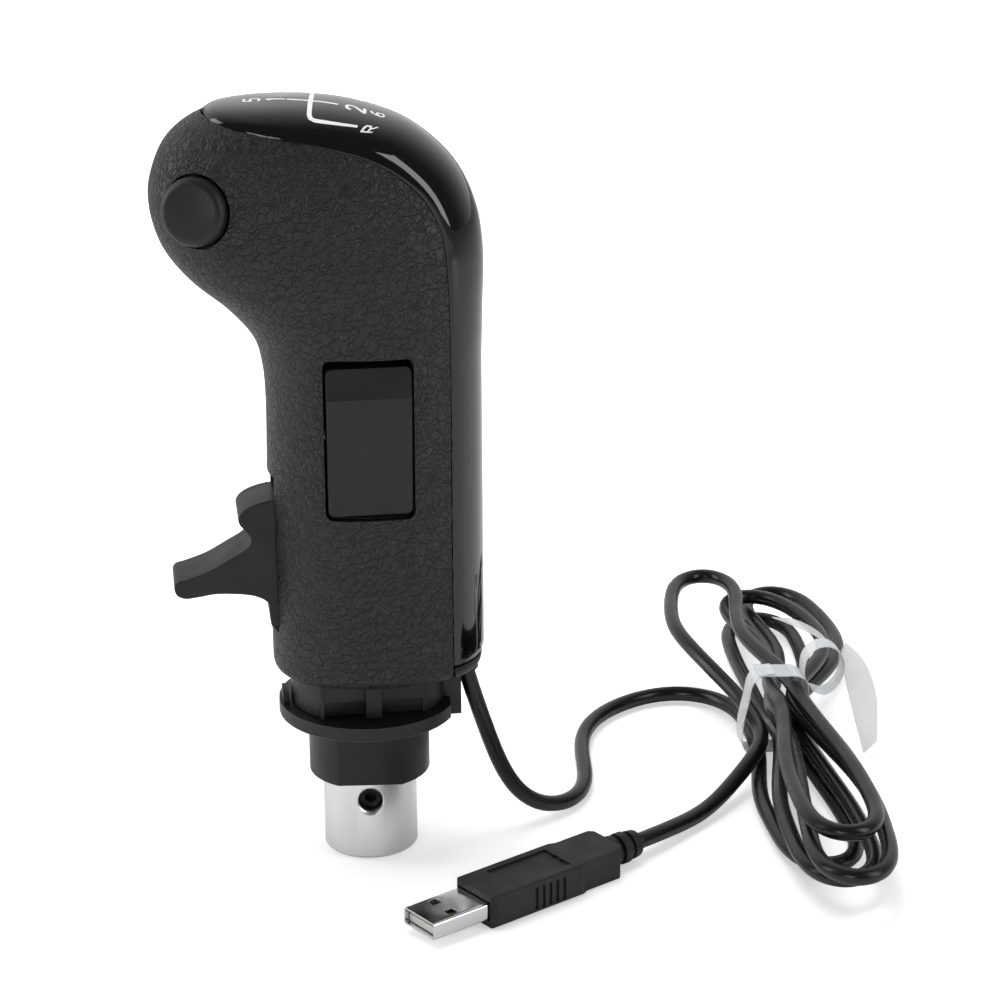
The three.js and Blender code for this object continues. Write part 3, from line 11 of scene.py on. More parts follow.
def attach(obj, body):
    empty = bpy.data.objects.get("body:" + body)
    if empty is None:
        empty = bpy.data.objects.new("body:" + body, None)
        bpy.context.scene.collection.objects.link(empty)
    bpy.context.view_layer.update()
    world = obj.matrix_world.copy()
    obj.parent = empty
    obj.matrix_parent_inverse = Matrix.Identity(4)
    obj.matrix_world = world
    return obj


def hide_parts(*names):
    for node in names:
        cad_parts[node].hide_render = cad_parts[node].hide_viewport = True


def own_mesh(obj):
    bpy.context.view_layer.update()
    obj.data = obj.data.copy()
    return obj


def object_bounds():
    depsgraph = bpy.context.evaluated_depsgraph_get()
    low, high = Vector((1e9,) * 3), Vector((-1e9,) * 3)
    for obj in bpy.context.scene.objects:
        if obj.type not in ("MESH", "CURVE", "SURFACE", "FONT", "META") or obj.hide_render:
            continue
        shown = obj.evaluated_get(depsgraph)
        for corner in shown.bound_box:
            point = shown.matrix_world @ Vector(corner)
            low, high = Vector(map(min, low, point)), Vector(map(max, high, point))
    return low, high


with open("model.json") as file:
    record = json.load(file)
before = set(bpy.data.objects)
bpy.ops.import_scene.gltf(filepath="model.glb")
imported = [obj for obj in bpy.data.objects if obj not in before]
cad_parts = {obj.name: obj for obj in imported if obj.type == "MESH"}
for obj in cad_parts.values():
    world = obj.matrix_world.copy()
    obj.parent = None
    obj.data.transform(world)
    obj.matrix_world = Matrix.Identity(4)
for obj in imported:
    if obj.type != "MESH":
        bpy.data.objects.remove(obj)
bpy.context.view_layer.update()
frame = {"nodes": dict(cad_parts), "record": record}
scene = bpy.context.scene
scene.view_settings.view_transform = "Standard"


# Camera: a long lens a little above the knob, turned slightly to its front, as the picture was taken.
# It is placed by the pixel where the foot of the mounting tube lies in a picture 1000 pixels wide.
def stand_camera(turn, pitch, roll, distance, focal, foot_pixel, picture=1000, sensor=36):
    """View axes are the world's, pitched down, rolled, then turned about Z; the camera backs off along the
    ray through foot_pixel until the tube's foot is at `distance` along the view axis. The focal length and
    the width of the picture are in pixels."""
    c, s = math.cos(pitch), math.sin(pitch)
    right, ahead, up = np.array([1, 0, 0]), np.array([0, c, -s]), np.array([0, s, c])
    right, up = right * math.cos(roll) + up * math.sin(roll), up * math.cos(roll) - right * math.sin(roll)
    about = np.array([[math.cos(turn), -math.sin(turn), 0], [math.sin(turn), math.cos(turn), 0], [0, 0, 1]])
    right, up, ahead = about @ right, about @ up, about @ ahead
    aside, below = (foot_pixel[0] - picture / 2) / focal, (foot_pixel[1] - picture / 2) / focal
    ray = aside * right - below * up + ahead
    lens = bpy.data.cameras.new("camera")
    lens.lens, lens.sensor_width = focal * sensor / picture, sensor
    lens.clip_start, lens.clip_end = 0.05, 20
    camera = bpy.data.objects.new("camera", lens)
    scene.collection.objects.link(camera)
    turned = np.eye(4)
    turned[:3, :3] = np.stack([right, up, -ahead], axis=1)
    turned[:3, 3] = -ray * distance
    camera.matrix_world = Matrix(turned.tolist())
    scene.camera = camera


stand_camera(turn=math.radians(-7.5), pitch=math.radians(19.9), roll=math.radians(-0.4), distance=0.7795,
             focal=3000, foot_pixel=(371.6, 837.6))


# Studio: a matt white sweep under four soft boxes, in a room that is brighter behind the knob. The camera
# sees the sweep lifted to white, less so near the knob, so the knob keeps its soft shadow.
def with_values(node, **sockets):
    """Gives the node's input sockets these values, with a space in a socket's name for each underscore."""
    for socket, value in sockets.items():
        node.inputs[socket.replace("_", " ")].default_value = value
    return node


def new_node(nodes, kind, **sockets):
    """A new shader node of that kind with these values in its input sockets."""
    return with_values(nodes.new(f"ShaderNode{kind}"), **sockets)


def join(links, pairs):
    """Links each source socket to its target socket."""
    for source, target in pairs:
        links.new(source, target)


def new_finish(name, **sockets):
    """A material whose Principled sockets take the given values, with its nodes, links and that node."""
    finish = bpy.data.materials.new(name)
    finish.use_nodes = True
    nodes = finish.node_tree.nodes
    return finish, nodes, finish.node_tree.links, with_values(nodes["Principled BSDF"], **sockets)


def mesh_piece(name, points, faces, finish, body=None, slot=None):
    """One smooth mesh object at the origin from an array of points and a list or array of faces."""
    mesh = bpy.data.meshes.new(name)
    mesh.from_pydata(np.asarray(points, float).tolist(), [], [list(map(int, face)) for face in faces])
    mesh.validate()
    mesh.shade_smooth()
    mesh.materials.append(finish)
    piece = bpy.data.objects.new(name, mesh)
    scene.collection.objects.link(piece)
    if body:
        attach(piece, body)
    return piece


sweep_white, nodes, links, surface = new_finish(
    "sweep_white", Base_Color=(0.88, 0.88, 0.88, 1), Roughness=0.9, Specular_IOR_Level=0.1,
    Emission_Color=(1, 1, 1, 1))
ray_kind, spot, away = (new_node(nodes, kind) for kind in ("LightPath", "TexCoord", "VectorMath"))
away.operation = "LENGTH"
fade = new_node(nodes, "MapRange", From_Min=0.1, From_Max=0.45, To_Min=0.45, To_Max=1.0)
lift, either = new_node(nodes, "Math"), new_node(nodes, "Math")
lift.operation, either.operation = "MULTIPLY", "MAXIMUM"
join(links, [(spot.outputs["Object"], away.inputs[0]), (away.outputs["Value"], fade.inputs["Value"]),
             (ray_kind.outputs["Is Camera Ray"], either.inputs[0]),
             (ray_kind.outputs["Is Transmission Ray"], either.inputs[1]),
             (either.outputs[0], lift.inputs[0]), (fade.outputs[0], lift.inputs[1]),
             (lift.outputs[0], surface.inputs["Emission Strength"])])
floor_gap, sweep_half = 0.0004, 3
floor_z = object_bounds()[0][2] - floor_gap
sweep_corners = [(x * sweep_half, y * sweep_half, floor_z) for x, y in ((-1, -1), (1, -1), (1, 1), (-1, 1))]
mesh_piece("sweep", sweep_corners, [(0, 1, 2, 3)], sweep_white)

scene.world = bpy.data.worlds.new("studio")
scene.world.use_nodes = True
sky = scene.world.node_tree.nodes
room = with_values(sky["Background"], Color=(1, 1, 1, 1))
looking, split = new_node(sky, "TexCoord"), new_node(sky, "SeparateXYZ")
behind = new_node(sky, "MapRange", From_Min=-0.1, From_Max=0.85, To_Min=0.09, To_Max=0.75)
behind.interpolation_type = "SMOOTHSTEP"
white = new_node(sky, "Background", Color=(1, 1, 1, 1))
ray_kind, choose = new_node(sky, "LightPath"), new_node(sky, "MixShader")
join(scene.world.node_tree.links, [
    (looking.outputs["Generated"], split.inputs[0]), (split.outputs["Y"], behind.inputs["Value"]),
    (behind.outputs[0], room.inputs["Strength"]), (ray_kind.outputs["Is Camera Ray"], choose.inputs[0]),
    (room.outputs[0], choose.inputs[1]), (white.outputs[0], choose.inputs[2]),
    (choose.outputs[0], sky["World Output"].inputs["Surface"])])


def soft_box(name, place, aim, size, power, mirrored=True):
    """A soft box of that size and power in watts, turned to its aim; gloss mirrors it unless told not to."""
    lamp = bpy.data.lights.new(name, "AREA")
    lamp.shape, lamp.size, lamp.size_y, lamp.energy = "RECTANGLE", size[0], size[1], power
    box = bpy.data.objects.new(name, lamp)
    scene.collection.objects.link(box)
    box.location, box.visible_glossy = place, mirrored
    box.rotation_euler = (Vector(aim) - Vector(place)).to_track_quat("-Z", "Y").to_euler()


soft_box("left", (-0.85, 0.25, 0.45), (0, 0, 0.12), (0.4, 0.9), 3)
soft_box("right", (0.75, -0.45, 0.5), (0.02, 0, 0.12), (0.3, 0.8), 2.6)
soft_box("above", (-0.1, 0.1, 0.95), (0, 0, 0.1), (0.7, 0.5), 5, mirrored=False)
soft_box("front", (-0.5, -0.9, 0.42), (0, 0, 0.1), (0.5, 0.3), 1.8)


# Cord: one 4.2 mm black PVC lead with a soft sheen. It leaves the rim of the handle, falls to the floor,
# is wound four times into a tied hank and runs from there to its plug.
cord_width, cord_step, cord_slack = 0.0042, 0.0011, 0.0052
outlet, outlet_lean = np.array([25.1, -1.0, 46.4]), math.radians(14.6)
outlet_axis = np.array([-math.sin(outlet_lean), 0, math.cos(outlet_lean)])
lead_route = np.array([
    outlet + 2 * outlet_axis, outlet - 2.5 * outlet_axis, [26.4, -1, 41.4], [27.9, -0.8, 36.6],
    [29.7, -0.3, 31], [31.5, 0.5, 25.2], [33.7, 1.3, 19], [36.3, 2, 13.2], [39.8, 2.8, 8], [44.3, 4, 4.5],
    [49.6, 6.3, 2.7], [54.6, 10.2, 2.2], [58.4, 16.6, 2.15], [60.4, 25.6, 2.15], [61.3, 36, 2.15],
    [62.8, 47.5, 2.15], [66.3, 57.5, 2.15], [72.5, 66, 2.15], [81, 72.3, 2.2], [90, 75.6, 2.3],
    [98.5, 74, 2.6], [105.4, 68, 2.9], [109.1, 59.6, 3.05], [109.9, 51.5, 3.05]])
# length, lean at the tip, bow at mid length and half width of each lobe, from the lowest layer up
near_lobes = [[80, -6, -3, 9.5], [98, -6, -2, 9.5], [107, -5, 2, 9.5], [93, -4, -1, 9]]
far_lobes = [[87, 12, 4, 10], [95, 19, 13, 10], [81, 7, 10, 10], [87, -8, -10, 9.5]]
# where the hank is tied, its half width there, the height of its lowest layer and the step to each next one
waist, waist_half, layer_foot, layer_step = (118, 40), 2.5, 3.05, 5


def eased(share):
    """3 s^2 - 2 s^3 between 0 and 1."""
    share = np.clip(share, 0, 1)
    return share * share * (3 - 2 * share)


def lobe_line(turn, far):
    """One lobe of the hank: out along a run, half an ellipse round the tip and back. The middle line leans as
    the square of the share and bows as sin^2; the runs open from the waist by an eased half width. The runs
    that join the lead and the tail swing aside at the waist, the others climb to the next layer."""
    length, lean, bow, half = (far_lobes if far else near_lobes)[turn]
    tip_ratio, swing, drop = 1.7, 5.6, 9
    reach = tip_ratio * half
    run, out = length - reach, 1 if far else -1
    shares = np.array([0, 0.09, 0.17, 0.27, 0.38, 0.52, 0.66, 0.83, 1])
    turns = np.radians(np.arange(22.5, 180, 22.5))
    along = np.concatenate([run * shares, np.full(len(turns), run), run * shares[::-1]])
    width = waist_half + (half - waist_half) * eased(shares / 0.8)
    side = out * np.concatenate([width, half * np.cos(turns), -width[::-1]])
    ahead = np.concatenate([0 * shares, reach * np.sin(turns), 0 * shares])
    share = along / length
    slope = (2 * lean * share + bow * np.pi * np.sin(2 * np.pi * share)) / length
    forward = np.stack([slope, np.ones_like(slope)], 1) / np.hypot(slope, 1)[:, None]
    x = lean * share ** 2 + bow * np.sin(np.pi * share) ** 2 + forward[:, 0] * ahead + forward[:, 1] * side
    y = along + forward[:, 1] * ahead - forward[:, 0] * side
    z = np.full_like(x, layer_foot + layer_step * turn)
    left = side < -1e-6
    if turn == (3 if far else 0):
        x = x - np.where(left, swing * (1 - eased(along / 60)), 0)
        z = z - (np.where(left, drop * (1 - eased(along / 45)), 0) if far else 0)
    else:
        z = z + np.where(left, out * layer_step * eased((14 - along) / 28), 0)
    return np.stack([waist[0] + x, waist[1] + out * y, z], 1)


plug_foot, plug_heading = np.array([6.3, -56.9, 0.05]), math.radians(31)
plug_half_height, relief_end = 4.2, 69.5
plug_axis = np.array([math.cos(plug_heading), math.sin(plug_heading), 0])
cord_mouth = plug_foot + np.array([0, 0, plug_half_height]) + plug_axis * relief_end
tail_route = np.array([
    [109.9, 29.6, 9.05], [108.5, 23.8, 8.8], [104.6, 17.2, 7.8], [98.9, 10.2, 5.7], [93, 3.4, 3.6],
    [86.4, -3.6, 2.5], [79.6, -9.7, 2.9], cord_mouth + 4.2 * plug_axis, cord_mouth])
hank = [lobe_line(turn, far)[0 if (turn, far) == (0, False) else 1:]
        for turn in range(len(near_lobes)) for far in (False, True)]
cord_points = np.concatenate([lead_route, [[109.9, 46.3, 3.05]], *hank, [[109.9, 34, 9.05]], tail_route])
cord_points /= 1000


def travelled(points, exponent=1):
    """Running sum, from 0, of the steps between the points, each raised to the exponent."""
    return np.concatenate([[0], np.cumsum(np.linalg.norm(np.diff(points, axis=0), axis=1) ** exponent)])


def picked(points, along, even):
    """The points' coordinates at the values `even` of `along`, straight between one point and the next."""
    return np.stack([np.interp(even, along, column) for column in points.T], 1)


def unit(vectors):
    """The vectors divided by their lengths."""
    return vectors / np.linalg.norm(vectors, axis=-1, keepdims=True)


def flowing(points, spacing):
    """A centripetal Catmull-Rom curve through the points, sampled at an even spacing along its length."""
    ends = np.concatenate([[2 * points[0] - points[1]], points, [2 * points[-1] - points[-2]]])
    knots, fill = travelled(ends, 0.5), 16
    first = np.repeat(np.arange(1, len(ends) - 2), fill)
    t = knots[first] + (knots[first + 1] - knots[first]) * np.tile(np.arange(fill) / fill, len(ends) - 3)
    corner, knot = [ends[first + k] for k in (-1, 0, 1, 2)], [knots[first + k] for k in (-1, 0, 1, 2)]

    def between(a, b, ta, tb):
        share = ((t - ta) / (tb - ta))[:, None]
        return a * (1 - share) + b * share

    a1, a2, a3 = (between(corner[k], corner[k + 1], knot[k], knot[k + 1]) for k in (0, 1, 2))
    b1, b2 = between(a1, a2, knot[0], knot[2]), between(a2, a3, knot[1], knot[3])
    curve = np.concatenate([between(b1, b2, knot[1], knot[2]), points[-1:]])
    along = travelled(curve)
    return picked(curve, along, np.linspace(0, along[-1], int(along[-1] / spacing) + 1))


def ring_faces(rings, sides):
    """A quad for each side between each ring of points and the next."""
    row, column = np.meshgrid(np.arange(rings - 1), np.arange(sides), indexing="ij")
    here, beside = row * sides + column, row * sides + (column + 1) % sides
    return np.stack([here, beside, beside + sides, here + sides], -1).reshape(-1, 4)


def tube_along(path, radius, sides):
    """Points and faces of a circle carried along a path: at each step the side axis is the last one less its
    share along the new tangent, made a unit again. The ends are closed by a fan to a middle point."""
    ahead = unit(np.gradient(path, axis=0))
    side = np.zeros_like(path)
    side[0] = np.cross(ahead[0], [0.3, 1, 0.2])
    side[0] /= np.linalg.norm(side[0])
    for step in range(1, len(path)):
        carried = side[step - 1] - ahead[step] * (side[step - 1] @ ahead[step])
        side[step] = carried / np.linalg.norm(carried)
    up = np.cross(ahead, side)
    turn = 2 * np.pi * np.arange(sides) / sides
    radii = np.broadcast_to(radius, len(path))[:, None, None]
    cosine, sine = np.cos(turn)[None, :, None], np.sin(turn)[None, :, None]
    rings = path[:, None] + radii * (side[:, None] * cosine + up[:, None] * sine)
    points = np.concatenate([rings.reshape(-1, 3), path[:1], path[-1:]])
    faces, last = ring_faces(len(path), sides).tolist(), (len(path) - 1) * sides
    faces += [[(k + 1) % sides, k, len(points) - 2] for k in range(sides)]
    faces += [[last + k, last + (k + 1) % sides, len(points) - 1] for k in range(sides)]
    return points, faces


def relaxed(path, spread, spacing):
    """The path under a Gaussian of that spread; it is carried on straight past both ends, which stay put."""
    count = int(4 * spread / spacing)
    lead_in = 2 * path[0] - path[count:0:-1]
    lead_out = 2 * path[-1] - path[-2:-count - 2:-1]
    weight = np.exp(-0.5 * (np.arange(-count, count + 1) * spacing / spread) ** 2)
    longer = np.concatenate([lead_in, path, lead_out])
    return np.stack([np.convolve(longer[:, k], weight / weight.sum(), "valid") for k in range(3)], 1)


cord_path = relaxed(flowing(cord_points, cord_step), cord_slack, cord_step)


# The cord's PVC shares a soft unevenness with every moulded piece: cloudy gloss and a fine bump, both noise
# on Object coordinates, in one node group.
moulded = bpy.data.node_groups.new("moulded surface", "ShaderNodeTree")
for socket, value in [("Cloud Scale", 60), ("Grain Scale", 2600), ("Gloss Low", 0.3), ("Gloss High", 0.45)]:
    moulded.interface.new_socket(socket, in_out="INPUT", socket_type="NodeSocketFloat").default_value = value
for socket in ("Roughness", "Height"):
    moulded.interface.new_socket(socket, in_out="OUTPUT", socket_type="NodeSocketFloat")
inside = moulded.nodes
taken, given = inside.new("NodeGroupInput"), inside.new("NodeGroupOutput")
place = new_node(inside, "TexCoord").outputs["Object"]
cloud = new_node(inside, "TexNoise", Detail=5)
grain = new_node(inside, "TexNoise", Detail=2)
spread = new_node(inside, "MapRange", From_Min=0.35, From_Max=0.65)
join(moulded.links, [
    (place, cloud.inputs["Vector"]), (place, grain.inputs["Vector"]),
    (taken.outputs["Cloud Scale"], cloud.inputs["Scale"]), (cloud.outputs["Fac"], spread.inputs["Value"]),
    (taken.outputs["Grain Scale"], grain.inputs["Scale"]), (grain.outputs["Fac"], given.inputs["Height"]),
    (taken.outputs["Gloss Low"], spread.inputs["To Min"]),
    (taken.outputs["Gloss High"], spread.inputs["To Max"]),
    (spread.outputs["Result"], given.inputs["Roughness"])])


def moulded_finish(name, colour, gloss, cloud_scale=60, grain_scale=2600, bump=0.04, depth=0.0001, **sockets):
    """A material with the moulded group's bump and its roughness, which runs from gloss[0] to gloss[1]."""
    finish, nodes, links, surface = new_finish(name, Base_Color=(*colour, 1), **sockets)
    skin = new_node(nodes, "Group")
    skin.node_tree = moulded
    with_values(skin, Cloud_Scale=cloud_scale, Grain_Scale=grain_scale, Gloss_Low=gloss[0],
                Gloss_High=gloss[1])
    relief = new_node(nodes, "Bump", Strength=bump, Distance=depth)
    join(links, [(skin.outputs["Roughness"], surface.inputs["Roughness"]),
                 (skin.outputs["Height"], relief.inputs["Height"]),
                 (relief.outputs["Normal"], surface.inputs["Normal"])])
    return finish


cord_pvc = moulded_finish("cord_pvc", (0.0055, 0.0055, 0.006), (0.24, 0.36), 90, 1500, 0.08)
cord_jacket = mesh_piece(
    "cord_jacket", *tube_along(cord_path, cord_width / 2, sides=14), cord_pvc, "handle", "cord_jacket")
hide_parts("cord_lead", "cord_bundle", "cord_tail")
frame["nodes"]["cord_inner"].data.materials[0] = cord_pvc


# Adapter tube: turned from aluminium bar and brushed round, with a threaded hole at the front and a black
# grub screw in it. Both are merged copies of their CAD nodes, with a small round on each sharp edge.
def body_of(node):
    """The body whose list of nodes names this one."""
    bodies = frame["record"]["behaviour"]["bodies"]
    return next(body for body, nodes in bodies.items() if node in nodes)


def rounded(piece, width, segments, sharp):
    """A live bevel on every edge sharper than that angle, with even shading on the faces beside it."""
    bevel = piece.modifiers.new("edge", "BEVEL")
    bevel.width, bevel.segments, bevel.limit_method = width, segments, "ANGLE"
    bevel.angle_limit, bevel.harden_normals, bevel.use_clamp_overlap = math.radians(sharp), True, True


def dressed(node, finish, edge, segments=2):
    """A copy of a node with doubles merged, flat neighbours dissolved and a live bevel on its sharp edges."""
    same_point, flat_angle, smooth_angle, sharp_angle = 2e-6, 1.5, 35, 30
    source = frame["nodes"][node]
    work = bmesh.new()
    work.from_mesh(source.data)
    bmesh.ops.remove_doubles(work, verts=work.verts, dist=same_point)
    bmesh.ops.dissolve_limit(work, angle_limit=math.radians(flat_angle), verts=work.verts, edges=work.edges)
    mesh = bpy.data.meshes.new(f"{node}_dressed")
    work.to_mesh(mesh)
    work.free()
    mesh.shade_smooth()
    mesh.set_sharp_from_angle(angle=math.radians(smooth_angle))
    mesh.materials.clear()
    mesh.materials.append(finish)
    piece = bpy.data.objects.new(f"{node}_dressed", mesh)
    scene.collection.objects.link(piece)
    if edge:
        rounded(piece, edge, segments, sharp_angle)
    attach(piece, body_of(node))
    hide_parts(node)
    return piece


brushed, nodes, links, surface = new_finish(
    "brushed_aluminium", Base_Color=(0.93, 0.93, 0.935, 1), Metallic=1.0, Anisotropic=0.4)
place = new_node(nodes, "TexCoord").outputs["Object"]
rings = new_node(nodes, "Mapping", Scale=(60, 60, 5200))
lines = new_node(nodes, "TexNoise", Scale=1, Detail=3)
gloss = new_node(nodes, "MapRange", To_Min=0.26, To_Max=0.38)
relief = new_node(nodes, "Bump", Strength=0.25, Distance=0.00003)
join(links, [(place, rings.inputs["Vector"]), (rings.outputs[0], lines.inputs["Vector"]),
             (lines.outputs["Fac"], gloss.inputs["Value"]), (gloss.outputs[0], surface.inputs["Roughness"]),
             (lines.outputs["Fac"], relief.inputs["Height"]), (relief.outputs[0], surface.inputs["Normal"])])
dressed("adapter_tube", brushed, 0.00035)
blackened = moulded_finish(
    "blackened_steel", (0.008, 0.008, 0.008), (0.32, 0.5), 200, 3000, 0.08, Metallic=0.6)
dressed("set_screw", blackened, 0.0002)


# Core: the collar over the tube, the lock flange and the sleeve that runs up into the grip, all moulded in
# black nylon with a fine sheen. Two hidden screws hold them together.
core_black = moulded_finish("core_black", (0.0065, 0.0065, 0.007), (0.34, 0.5), 70, 2600, 0.08)
for node, edge in (("lower_collar", 0.0007), ("lock_flange", 0.0004), ("core_sleeve", 0.0003)):
    dressed(node, core_black, edge, segments=3)


# Grip: two mouldings on one lofted form. Sections are superellipses between spline curves, in millimetres:
# a black shell with a leather grain, and a gloss cover over the crown and down the back.
rim_height, rim_round, crown_height, foot_front, overhang, back_reach, half_width, power = (
    49.8, 3, 195.2, 23.7, 26.2, 29.4, 24, 2.25)
loft_height, seam_gap, shell_wall, sleeve_radius, sleeve_flat = (
    crown_height - rim_height - rim_round, 0.15, 2.2, 19.9, 15.3)
# height, front, back and half width of each level, as shares of the height, the overhang and the reaches
grip_levels = np.array([
    [0, 0.0001, 0.986, 0.858], [0.12, 0.0039, 0.986, 0.871], [0.296, 0.0077, 0.986, 0.888],
    [0.472, -0.0075, 0.986, 0.917], [0.549, 0.0192, 0.986, 0.938], [0.601, 0.1068, 0.993, 0.954],
    [0.654, 0.3467, 1, 0.975], [0.703, 0.6572, 1.01, 0.992], [0.752, 0.8667, 1.003, 1],
    [0.801, 0.9695, 0.969, 0.996], [0.851, 0.9981, 0.886, 0.971], [0.893, 0.9505, 0.762, 0.921],
    [0.932, 0.8553, 0.571, 0.833], [0.96, 0.7181, 0.367, 0.717], [0.981, 0.5315, 0.095, 0.563],
    [0.994, 0.2972, -0.204, 0.358], [1, -0.2189, -0.575, 0.02]])
# reach (front negative, back positive) and height of the seam, seen from the side
seam_shares = np.array([
    [-0.84, 1.03], [-0.745, 0.99], [-0.641, 0.977], [-0.461, 0.964], [-0.311, 0.955], [-0.148, 0.942],
    [0.027, 0.924], [0.214, 0.904], [0.364, 0.88], [0.497, 0.851], [0.599, 0.814], [0.65, 0.779],
    [0.672, 0.734], [0.684, 0.674], [0.69, 0.594], [0.69, 0.511], [0.687, 0.329], [0.687, 0.13],
    [0.694, -0.05]])


def spline_at(rows, share):
    """Uniform Catmull-Rom through the rows with end rows repeated; share 0 to 1 runs over their index."""
    place = np.clip(share, 0, 1) * (len(rows) - 1)
    step = np.minimum(place.astype(int), len(rows) - 2)
    t = (place - step)[..., None]
    p0, p1, p2, p3 = (rows[np.clip(step + k, 0, len(rows) - 1)] for k in (-1, 0, 1, 2))
    v0, v1 = (p2 - p0) / 2, (p3 - p1) / 2
    return (2 * p1 - 2 * p2 + v0 + v1) * t ** 3 + (-3 * p1 + 3 * p2 - 2 * v0 - v1) * t ** 2 + v0 * t + p1


def section_at(level):
    """Height, middle, half depth and half width of the grip's superellipse at each level."""
    height, front, back, half = np.moveaxis(spline_at(grip_levels, level), -1, 0)
    ahead, behind = foot_front + overhang * front, back_reach * back
    return (rim_height + rim_round + height * loft_height, (behind - ahead) / 2, (behind + ahead) / 2,
            half_width * half)


def grip_surface(level, turn):
    """Point of the grip: sign(cos) |cos|^(2 / power) of the half depth and the same of sine and half width.
    The turn runs from the back (0) over the far side (pi / 2) to the front (pi)."""
    z, middle, reach, half = section_at(level)
    x = middle + reach * np.sign(np.cos(turn)) * np.abs(np.cos(turn)) ** (2 / power)
    y = half * np.sign(np.sin(turn)) * np.abs(np.sin(turn)) ** (2 / power)
    return np.stack([x, y, z + 0 * x], -1)


def outward_at(level, turn):
    """Unit normal of the grip: the cross product of the differences round it and along it, made a unit."""
    step = 1e-3
    level, turn = np.clip(level, 2 * step, 1 - 4 * step), turn + 0 * level
    around = grip_surface(level, turn + step) - grip_surface(level, turn - step)
    upward = grip_surface(level + step, turn) - grip_surface(level - step, turn)
    normal = np.cross(around, upward)
    return normal / np.maximum(np.linalg.norm(normal, axis=-1, keepdims=True), 1e-12)


seam_line = spline_at(seam_shares, np.linspace(0, 1, 800))
seam_reach = np.where(seam_line[:, 0] < 0, foot_front + overhang, back_reach)
seam_line = np.stack([seam_reach * seam_line[:, 0],
                      rim_height + seam_line[:, 1] * (crown_height - rim_height)], 1)


def seam_turn(level, shift):
    """The turn at which the seam crosses each level, after moving the seam along X; pi above its tip."""
    z, middle, reach = section_at(level)[:3]
    order = np.argsort(seam_line[:, 1])
    across = np.interp(z, seam_line[order, 1], seam_line[order, 0]) + shift
    cosine = np.clip((across - middle) / reach, -1, 1)
    return np.arccos(np.sign(cosine) * np.abs(cosine) ** (power / 2))


def tidy_mesh(piece, sharp_angle=35):
    """Merges what lies on one point, turns the faces outwards and marks edges sharper than the angle."""
    clean = bmesh.new()
    clean.from_mesh(piece.data)
    bmesh.ops.remove_doubles(clean, verts=clean.verts, dist=1e-6)
    bmesh.ops.dissolve_degenerate(clean, edges=clean.edges, dist=1e-7)
    bmesh.ops.recalc_face_normals(clean, faces=clean.faces)
    clean.to_mesh(piece.data)
    clean.free()
    piece.data.set_sharp_from_angle(angle=math.radians(sharp_angle))


def walled(name, outer, inner, finish, slot):
    """A wall of the handle between two grids of points: both skins and the four rims between are quads."""
    rows, columns = outer.shape[:2]
    points = np.concatenate([outer.reshape(-1, 3), inner.reshape(-1, 3)]) / 1000
    r, c = np.meshgrid(np.arange(rows - 1), np.arange(columns - 1), indexing="ij")
    a, half = (r * columns + c).ravel(), rows * columns
    skin = np.stack([a, a + 1, a + columns + 1, a + columns], 1)
    faces = [skin, skin[:, ::-1] + half]
    low, high = np.arange(columns - 1), np.arange(columns - 1) + (rows - 1) * columns
    left = np.arange(rows - 1) * columns
    right = left + columns - 1
    for here, beside in ((low + 1, low), (high, high + 1), (left, left + columns), (right + columns, right)):
        faces.append(np.stack([here, beside, beside + half, here + half], 1))
    piece = mesh_piece(name, points, np.concatenate(faces), finish, "handle", slot)
    tidy_mesh(piece, 40)
    return piece


def cut_away(piece, tool_points, tool_faces):
    """Subtracts a closed tool from a piece with an exact boolean and applies it."""
    mesh = bpy.data.meshes.new("tool")
    mesh.from_pydata((tool_points / 1000).tolist(), [], tool_faces)
    outward = bmesh.new()
    outward.from_mesh(mesh)
    bmesh.ops.recalc_face_normals(outward, faces=outward.faces)
    outward.to_mesh(mesh)
    outward.free()
    tool = bpy.data.objects.new("tool", mesh)
    scene.collection.objects.link(tool)
    modifier = piece.modifiers.new("cut", "BOOLEAN")
    modifier.operation, modifier.object, modifier.solver = "DIFFERENCE", tool, "EXACT"
    bpy.context.view_layer.update()
    result = bpy.data.meshes.new_from_object(piece.evaluated_get(bpy.context.evaluated_depsgraph_get()))
    piece.modifiers.clear()
    old, piece.data = piece.data, result
    bpy.data.meshes.remove(old)
    bpy.data.objects.remove(tool)
    bpy.data.meshes.remove(mesh)


def prism(outline, start, end):
    """Points and faces of an outline repeated at two offsets, capped by its own polygon at both ends."""
    outline = np.asarray(outline, float)
    count = len(outline)
    points = np.concatenate([outline + start, outline + end])
    faces = [list(range(count))[::-1], list(range(count, 2 * count))]
    faces += [[k, (k + 1) % count, count + (k + 1) % count, count + k] for k in range(count)]
    return points, faces


def ring_rows(level_count, crowding):
    """Levels 1 - (1 - share)^crowding: they crowd towards the crown, where the surface turns over."""
    return 1 - (1 - np.linspace(0, 1, level_count)) ** crowding


# The leather grain is a net of fine wrinkles bent by a slow noise, with a bump, and smoother on top. In
# patches its colour holds painted shade in the crease and a painted glint on the lip beside it.
grip_grain, nodes, links, surface = new_finish("grip_grain", Roughness=0.55, Specular_IOR_Level=0.55)
place = new_node(nodes, "TexCoord").outputs["Object"]
warp = new_node(nodes, "TexNoise", Scale=300, Detail=2)
bend = new_node(nodes, "VectorMath")
bend.operation = "MULTIPLY_ADD"
bend.inputs[1].default_value = (0.0036, 0.0036, 0.0036)
cells = new_node(nodes, "TexVoronoi", Scale=520)
fine = new_node(nodes, "TexVoronoi", Scale=1300)
cells.feature = fine.feature = "DISTANCE_TO_EDGE"
crease = new_node(nodes, "MapRange", From_Max=0.15)
crease_fine = new_node(nodes, "MapRange", From_Max=0.25, To_Min=0.75)
height = new_node(nodes, "Math")
height.operation = "MULTIPLY"
# a ramp over the distance to a cell's edge: painted shade in the crease, a painted glint just beside it, then
# the plain dark grain
crease_shade_and_glint = new_node(nodes, "ValToRGB")
stops = crease_shade_and_glint.color_ramp.elements
